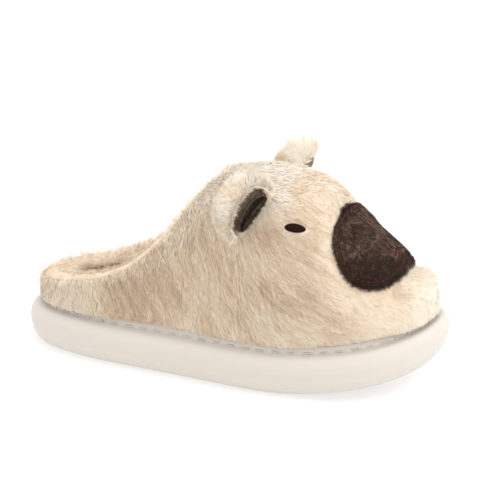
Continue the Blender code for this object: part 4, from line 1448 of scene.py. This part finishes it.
def make_ear(name, seed):
    """A fur hood, and a dark lining that lies in it and swells into a lobe at its base."""
    middle, long_way, facing, lean = EARS[name]
    rng = np.random.default_rng(seed)
    outside = ear_outside(middle, long_way, facing, lean)
    hood = grid_mesh(f"ear_{name}_cloth", outside, False, PALE_CLOTH)
    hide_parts(f"ear_{name}_hood")
    lining = ear_inside(middle, long_way, facing, lean, EAR_PUFF[name])
    obj = grid_mesh(f"ear_{name}_inside", lining, False, LINING_CLOTH)
    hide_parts(f"ear_{name}_lining")
    height = np.cross(long_way, facing)
    height = height if height[2] > 0 else -height
    ear_fur(name, outside, height, rng)
    ear_pile(name, lining, height, rng)
    return outside.shape


print("ear grids:", make_ear("right", 21), make_ear("left", 22))

# %% [markdown]
# ## Nose
# A patch of brown plush is sewn on over the muzzle, with a border seam near its edge and stitched
# nostrils, middle line and mouth. It could be cut from the upper with the knife tool. A polar grid, of
# the angle and the share of the radius, follows its outline better: its height is a low pillow with a
# trough at each seam.

# %% Nose seams
# Distance of the border seam from the edge, and the stitched creases in plan, in millimetres:
# nostrils, middle line and mouth fork.
NOSE_BORDER = 0.0024
NOSE_LINES = (
    ((79.5, -15.5), (81.5, -11.5), (84.0, -7.5)),
    ((79.5, 15.5), (81.5, 11.5), (84.0, 7.5)),
    ((80.5, 0.0), (88.0, 0.3), (96.0, 0.2), (104.0, 0.0)),
    ((102.5, 0.0), (104.2, -4.0), (104.4, -8.5)),
    ((102.5, 0.0), (104.2, 4.0), (104.4, 8.5)),
)


def line_distance(x, y, line):
    """Distance in millimetres from plan points to a bent line of straight pieces."""
    nearest = np.full(np.shape(x), np.inf)
    for (x0, y0), (x1, y1) in zip(line[:-1], line[1:]):
        size = (x1 - x0) ** 2 + (y1 - y0) ** 2
        share = np.clip(((x - x0) * (x1 - x0) + (y - y0) * (y1 - y0)) / size, 0, 1)
        nearest = np.minimum(nearest, np.hypot(x - x0 - share * (x1 - x0), y - y0 - share * (y1 - y0)))
    return nearest


def crease_distance(x, y):
    """Distance in millimetres from plan points in metres to the nearest stitched crease."""
    return np.min([line_distance(x * 1000, y * 1000, line) for line in NOSE_LINES], axis=0)


print("creases:", len(NOSE_LINES))

# %% Nose surface
# Depth and width of a crease, height, place and width of the ridge beside it, and depth and width of
# the trough at the border. Heights and depths are metres, and so is the border's width. The other
# places and widths are millimetres from the crease.
CREASE_DEPTH, CREASE_WIDTH = 0.0015, 0.8
RIDGE_HEIGHT, RIDGE_PLACE, RIDGE_WIDTH = 0.0008, 2.2, 1.2
BORDER_DEPTH, BORDER_WIDTH = 0.0011, 0.0008


def plan_map(p, q, height):
    """Places a point and a height over the last form from its plan position in front of the nose middle."""
    x, y = NOSE_MIDDLE + p, q
    room = np.clip(1 - (np.abs(y) / half_width(x)) ** squareness(x), 0, 1)
    base = np.stack([x, y, bulge_level(x) + crown_rise(x) * room ** (1 / squareness(x))], -1)
    return base + surface_normals(base) * (OVERLAY_GAP + height)[..., None]


def nose_height(turn, share):
    """Height over the muzzle: a pillow that falls at the rim, minus a trough at each seam and the bridge.

    pillow = thickness * (0.8 * sqrt(1 - share^6) + 0.35 * sqrt(1 - share^2))."""
    radius = nose_radius(turn)
    x, y = NOSE_MIDDLE + radius * share * np.cos(turn), radius * share * np.sin(turn)
    pillow = 0.8 * NOSE_THICKNESS * (1 - share**6) ** 0.5 + 0.35 * NOSE_THICKNESS * np.sqrt(1 - share**2)
    near = crease_distance(x, y)
    crease = RIDGE_HEIGHT * bell(near - RIDGE_PLACE, RIDGE_WIDTH) - CREASE_DEPTH * bell(near, CREASE_WIDTH)
    border = BORDER_DEPTH * bell((1 - share) * radius - NOSE_BORDER, BORDER_WIDTH)
    return pillow + 0.0004 - border + crease - bridge_dip(x, y)


def on_nose(turn, share, lift=0.0):
    """Points on the nose patch from their angle and their share of its radius."""
    radius = nose_radius(turn) * share
    return plan_map(radius * np.cos(turn), radius * np.sin(turn), nose_height(turn, share) + lift)


def nose_point(x, y, lift=0.0):
    """Points on the nose patch from their plan position in millimetres."""
    p, q = np.asarray(x, float) * 0.001 - NOSE_MIDDLE, np.asarray(y, float) * 0.001
    turn = np.arctan2(q, p)
    share = np.clip(np.hypot(p, q) / nose_radius(turn), 0, 1)
    return plan_map(p, q, nose_height(turn, share) + lift)


print("tip of the nose patch:", on_nose(0.0, 0.5).round(4).tolist())

# %% Nose patch and pile
# Columns of the patch, and how many millimetres beside each crease stay free of pile.
NOSE_COLUMNS = 180
CREASE_CLEAR = 0.62


def nose_patch():
    """The cloth: a skirt just under the muzzle's surface, then rings from the rim to the middle."""
    turns = np.linspace(-math.pi, math.pi, NOSE_COLUMNS, endpoint=False)
    turn, share = np.meshgrid(turns, np.sin(np.linspace(math.pi / 2, 0.02, 60)))
    patch = on_nose(turn, share)
    radius = nose_radius(turns)
    skirt = plan_map(radius * np.cos(turns), radius * np.sin(turns), np.full(NOSE_COLUMNS, -0.0004))
    obj = grid_mesh("nose_cloth", np.vstack([skirt[None], patch]), True, NOSE_CLOTH)
    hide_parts("nose")
    return patch


def nose_pile(patch, rng):
    """Short pile combed forward and down, none in the creases, and a painted highlight on their ridges."""
    spec = FUR["nose"]
    root, up, _ = scatter(patch, True, spec["count"], rng)
    near = crease_distance(root[:, 0], root[:, 1])
    used = near > CREASE_CLEAR
    root, up, near = root[used], up[used], near[used]
    up = up * np.sign(up[:, :1] * 0.7 + up[:, 2:3])
    way = np.column_stack([np.full(len(root), 0.7), root[:, 1] * 12, np.full(len(root), -0.7)])
    patchy = noise(root / 0.012, 15) * 0.25 + noise(root / 0.0030, 16) * 0.35
    patchy += noise(root / 0.0012, 17) * 0.40
    # Painted shade over the lower part of the nose, off its middle line, and painted highlight on the
    # ridges.
    low = np.clip((0.086 - root[:, 2]) / 0.016, 0, 1) * (np.abs(root[:, 1]) > 0.006)
    tone = np.clip(0.57 + 1.3 * (patchy - 0.5) + 0.45 * bell(near - 1.5, 0.8) - 0.52 * low, 0, 1)
    scale = 0.6 + 0.4 * np.clip(near / 3, 0, 1)
    pile = blades("nose_pile", root, up, lay(way, up), spec, tone, NOSE_PILE, rng, scale)
    return len(root)


def nose_fringe(rng):
    """Loose blades along the rim that point outwards and a little down."""
    spec = FUR["fringe"]
    turn = rng.uniform(-math.pi, math.pi, spec["count"])
    root = on_nose(turn, rng.uniform(0.965, 0.998, spec["count"]), -0.0008)
    up = surface_normals(root)
    way = np.column_stack([np.cos(turn), np.sin(turn), np.full(len(turn), -0.5)])
    tone = rng.uniform(0.2, 0.9, len(turn))
    fringe = blades("nose_fringe", root, up, lay(way, up), spec, tone, NOSE_PILE, rng)
    return len(root)


NOSE_DRAWS = np.random.default_rng(31)
print("nose blades:", nose_pile(nose_patch(), NOSE_DRAWS), nose_fringe(NOSE_DRAWS))

# %% Nose stitches
# Radius of the thread at the border and in the creases, and how high it lies over the cloth.
BORDER_THREAD, CREASE_THREAD, THREAD_LIFT = 0.00034, 0.00052, 0.0008


def stitched_line(x, y, radius, stitch=0.0026, gap=0.0005):
    """A run of thread stitches along a line on the nose, given in plan millimetres."""
    line = curve_through(np.column_stack([x, y]), 160)
    path = nose_point(line[:, 0], line[:, 1], THREAD_LIFT)
    run = distances(path)
    count = max(1, round(run[-1] / stitch))
    parts = []
    for k in range(count):
        want = np.linspace(k / count * run[-1] + gap / 2, (k + 1) / count * run[-1] - gap / 2, 5)
        parts.append(tube(at_distances(want, run, path), radius))
    return parts


def make_nose_stitches():
    """The border seam, both nostrils, the middle line and the mouth fork."""
    turns = np.linspace(-math.pi, math.pi, 121)
    radius = nose_radius(turns) - NOSE_BORDER
    x = (NOSE_MIDDLE + radius * np.cos(turns)) * 1000
    parts = stitched_line(x, radius * np.sin(turns) * 1000, BORDER_THREAD, 0.0030, 0.0006)
    for line in NOSE_LINES:
        parts += stitched_line(*np.array(line).T, CREASE_THREAD)
    points, quads = join(parts)
    obj = make_mesh("nose_stitches", points, [quads], SEAM)
    return len(parts)


print("nose stitches:", make_nose_stitches())

# %% [markdown]
# ## Eyes
# Each eye is an oval of satin stitch: threads lie side by side over a low pad. A bead would look hard
# here, and a painted spot flat, so each thread is a thin tube that arches over the pad.

# %% Eye threads and pad
# How many threads an eye has, their radius, how high threads and pad start over the cloth, and how far
# both arch up in the middle.
EYE_THREADS = 17
THREAD_RADIUS = 0.00052
THREAD_START, PAD_START = 0.0009, 0.0006
EYE_ARCH = 0.0013


def make_eye(frame_of_eye, name):
    """An oval of threads: each one spans the oval at its place and rises as a half ellipse over the pad."""
    middle, along, across = frame_of_eye
    parts = []
    for k in range(EYE_THREADS):
        p = (k - (EYE_THREADS - 1) / 2) / (EYE_THREADS / 2) * EYE_LENGTH / 2
        half = EYE_HEIGHT / 2 * math.sqrt(max(0.0, 1 - (p / (EYE_LENGTH / 2)) ** 2))
        q = np.linspace(-half, half, 9)
        arch = np.sqrt(np.clip(1 - (q / max(half, 1e-6)) ** 2, 0, 1))
        height = THREAD_START + EYE_ARCH * arch * (half / (EYE_HEIGHT / 2))
        path = tangent_map(middle, along, across, np.full(9, p) + 0.15 * q, q, height)
        parts.append(tube(path, THREAD_RADIUS, 8))
    turn, share = np.meshgrid(np.linspace(0, 2 * math.pi, 24, endpoint=False), np.linspace(1, 0, 7))
    p, q = EYE_LENGTH / 2 * share * np.cos(turn), EYE_HEIGHT / 2 * share * np.sin(turn)
    height = PAD_START + EYE_ARCH * np.sqrt(np.clip(1 - share**2, 0, 1))
    pad = tangent_map(middle, along, across, p, q, height)
    parts.append((pad.reshape(-1, 3), grid_quads(7, 24, True)))
    points, quads = join(parts)
    obj = make_mesh(f"eye_{name}_thread", points, [quads], EYE)
    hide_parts(f"eye_{name}")
    return len(points)


print("eye points:", make_eye(EYES[0], "right"), make_eye(EYES[1], "left"))

# %% [markdown]
# ## Floor, light and camera
# The photograph is a shop picture on white: soft light from above and the front, and almost no shadow.
# Large disc lamps give that softness, and a floor that glows a little goes white in the picture. The
# camera stands far away with a long lens, as for product photographs, so that the shoe isn't
# stretched.

# %% Floor
# Distance from the middle to each side, and strength of the glow.
FLOOR_HALF = 4.0
FLOOR_GLOW = 0.56


def make_floor():
    """A pale square that glows a little, so that it turns white in the picture."""
    material = plain_material("floor", "floor", 0.9, 0.0, 0.1)
    shader = material.node_tree.nodes["Principled BSDF"]
    shader.inputs["Emission Color"].default_value = (1.0, 1.0, 1.0, 1.0)
    shader.inputs["Emission Strength"].default_value = FLOOR_GLOW
    mesh = bpy.data.meshes.new("floor")
    corners = [(x * FLOOR_HALF, y * FLOOR_HALF, 0) for x, y in ((-1, -1), (1, -1), (1, 1), (-1, 1))]
    mesh.from_pydata(corners, [], [(0, 1, 2, 3)])
    mesh.materials.append(material)
    floor = bpy.data.objects.new("floor", mesh)
    bpy.context.scene.collection.objects.link(floor)


make_floor()
print("floor made")

# %% Light
# Name, place, aim, size, power and colour of each lamp.
LAMPS = (
    ("key", (0.95, -0.10, 0.80), (0.02, 0, 0.05), 0.50, 4.4, (1.0, 0.985, 0.96)),
    ("fill", (-0.30, -1.15, 0.30), (0, 0, 0.03), 0.8, 1.5, (1.0, 0.97, 0.94)),
    ("toe", (0.85, -0.75, 0.12), (0.06, 0, 0.03), 0.4, 1.1, (1.0, 0.98, 0.95)),
    ("top", (0.0, 0.15, 1.2), (0, 0, 0), 0.9, 5.6, (1.0, 1.0, 1.0)),
    ("back", (-0.80, 0.50, 0.85), (0, 0, 0.05), 0.8, 0.9, (1.0, 0.99, 0.97)),
)

for lamp_name, place, aim, size, power, colour in LAMPS:
    lamp = bpy.data.lights.new(lamp_name, "AREA")
    lamp.shape, lamp.size, lamp.energy, lamp.color = "DISK", size, power, colour
    light = bpy.data.objects.new(lamp_name, lamp)
    light.location = place
    light.rotation_euler = (Vector(aim) - Vector(place)).to_track_quat("-Z", "Y").to_euler()
    bpy.context.scene.collection.objects.link(light)

world = bpy.data.worlds.new("studio")
world.use_nodes = True
world.node_tree.nodes["Background"].inputs["Color"].default_value = (1.0, 1.0, 1.0, 1.0)
world.node_tree.nodes["Background"].inputs["Strength"].default_value = 1.0
bpy.context.scene.world = world
bpy.context.scene.view_settings.view_transform = "Standard"
print("lamps:", len(LAMPS))

# %% Camera
# Where the camera stands round the shoe, how far away, what it looks at, and its lens.
AZIMUTH, ELEVATION, DISTANCE = math.radians(20.45), math.radians(18.56), 1.1565
TARGET = Vector((0.00533, 0.0, 0.07594))
SENSOR, LENS = 36.0, 143.2

flat_way = math.cos(ELEVATION)
view_way = Vector((math.sin(AZIMUTH) * flat_way, -math.cos(AZIMUTH) * flat_way, math.sin(ELEVATION)))
lens = bpy.data.cameras.new("camera")
lens.sensor_width, lens.lens = SENSOR, LENS
camera = bpy.data.objects.new("camera", lens)
camera.location = TARGET + view_way * DISTANCE
camera.rotation_euler = (-view_way).to_track_quat("-Z", "Y").to_euler()
bpy.context.scene.collection.objects.link(camera)
bpy.context.scene.camera = camera
print("camera at:", [round(v, 3) for v in camera.location])
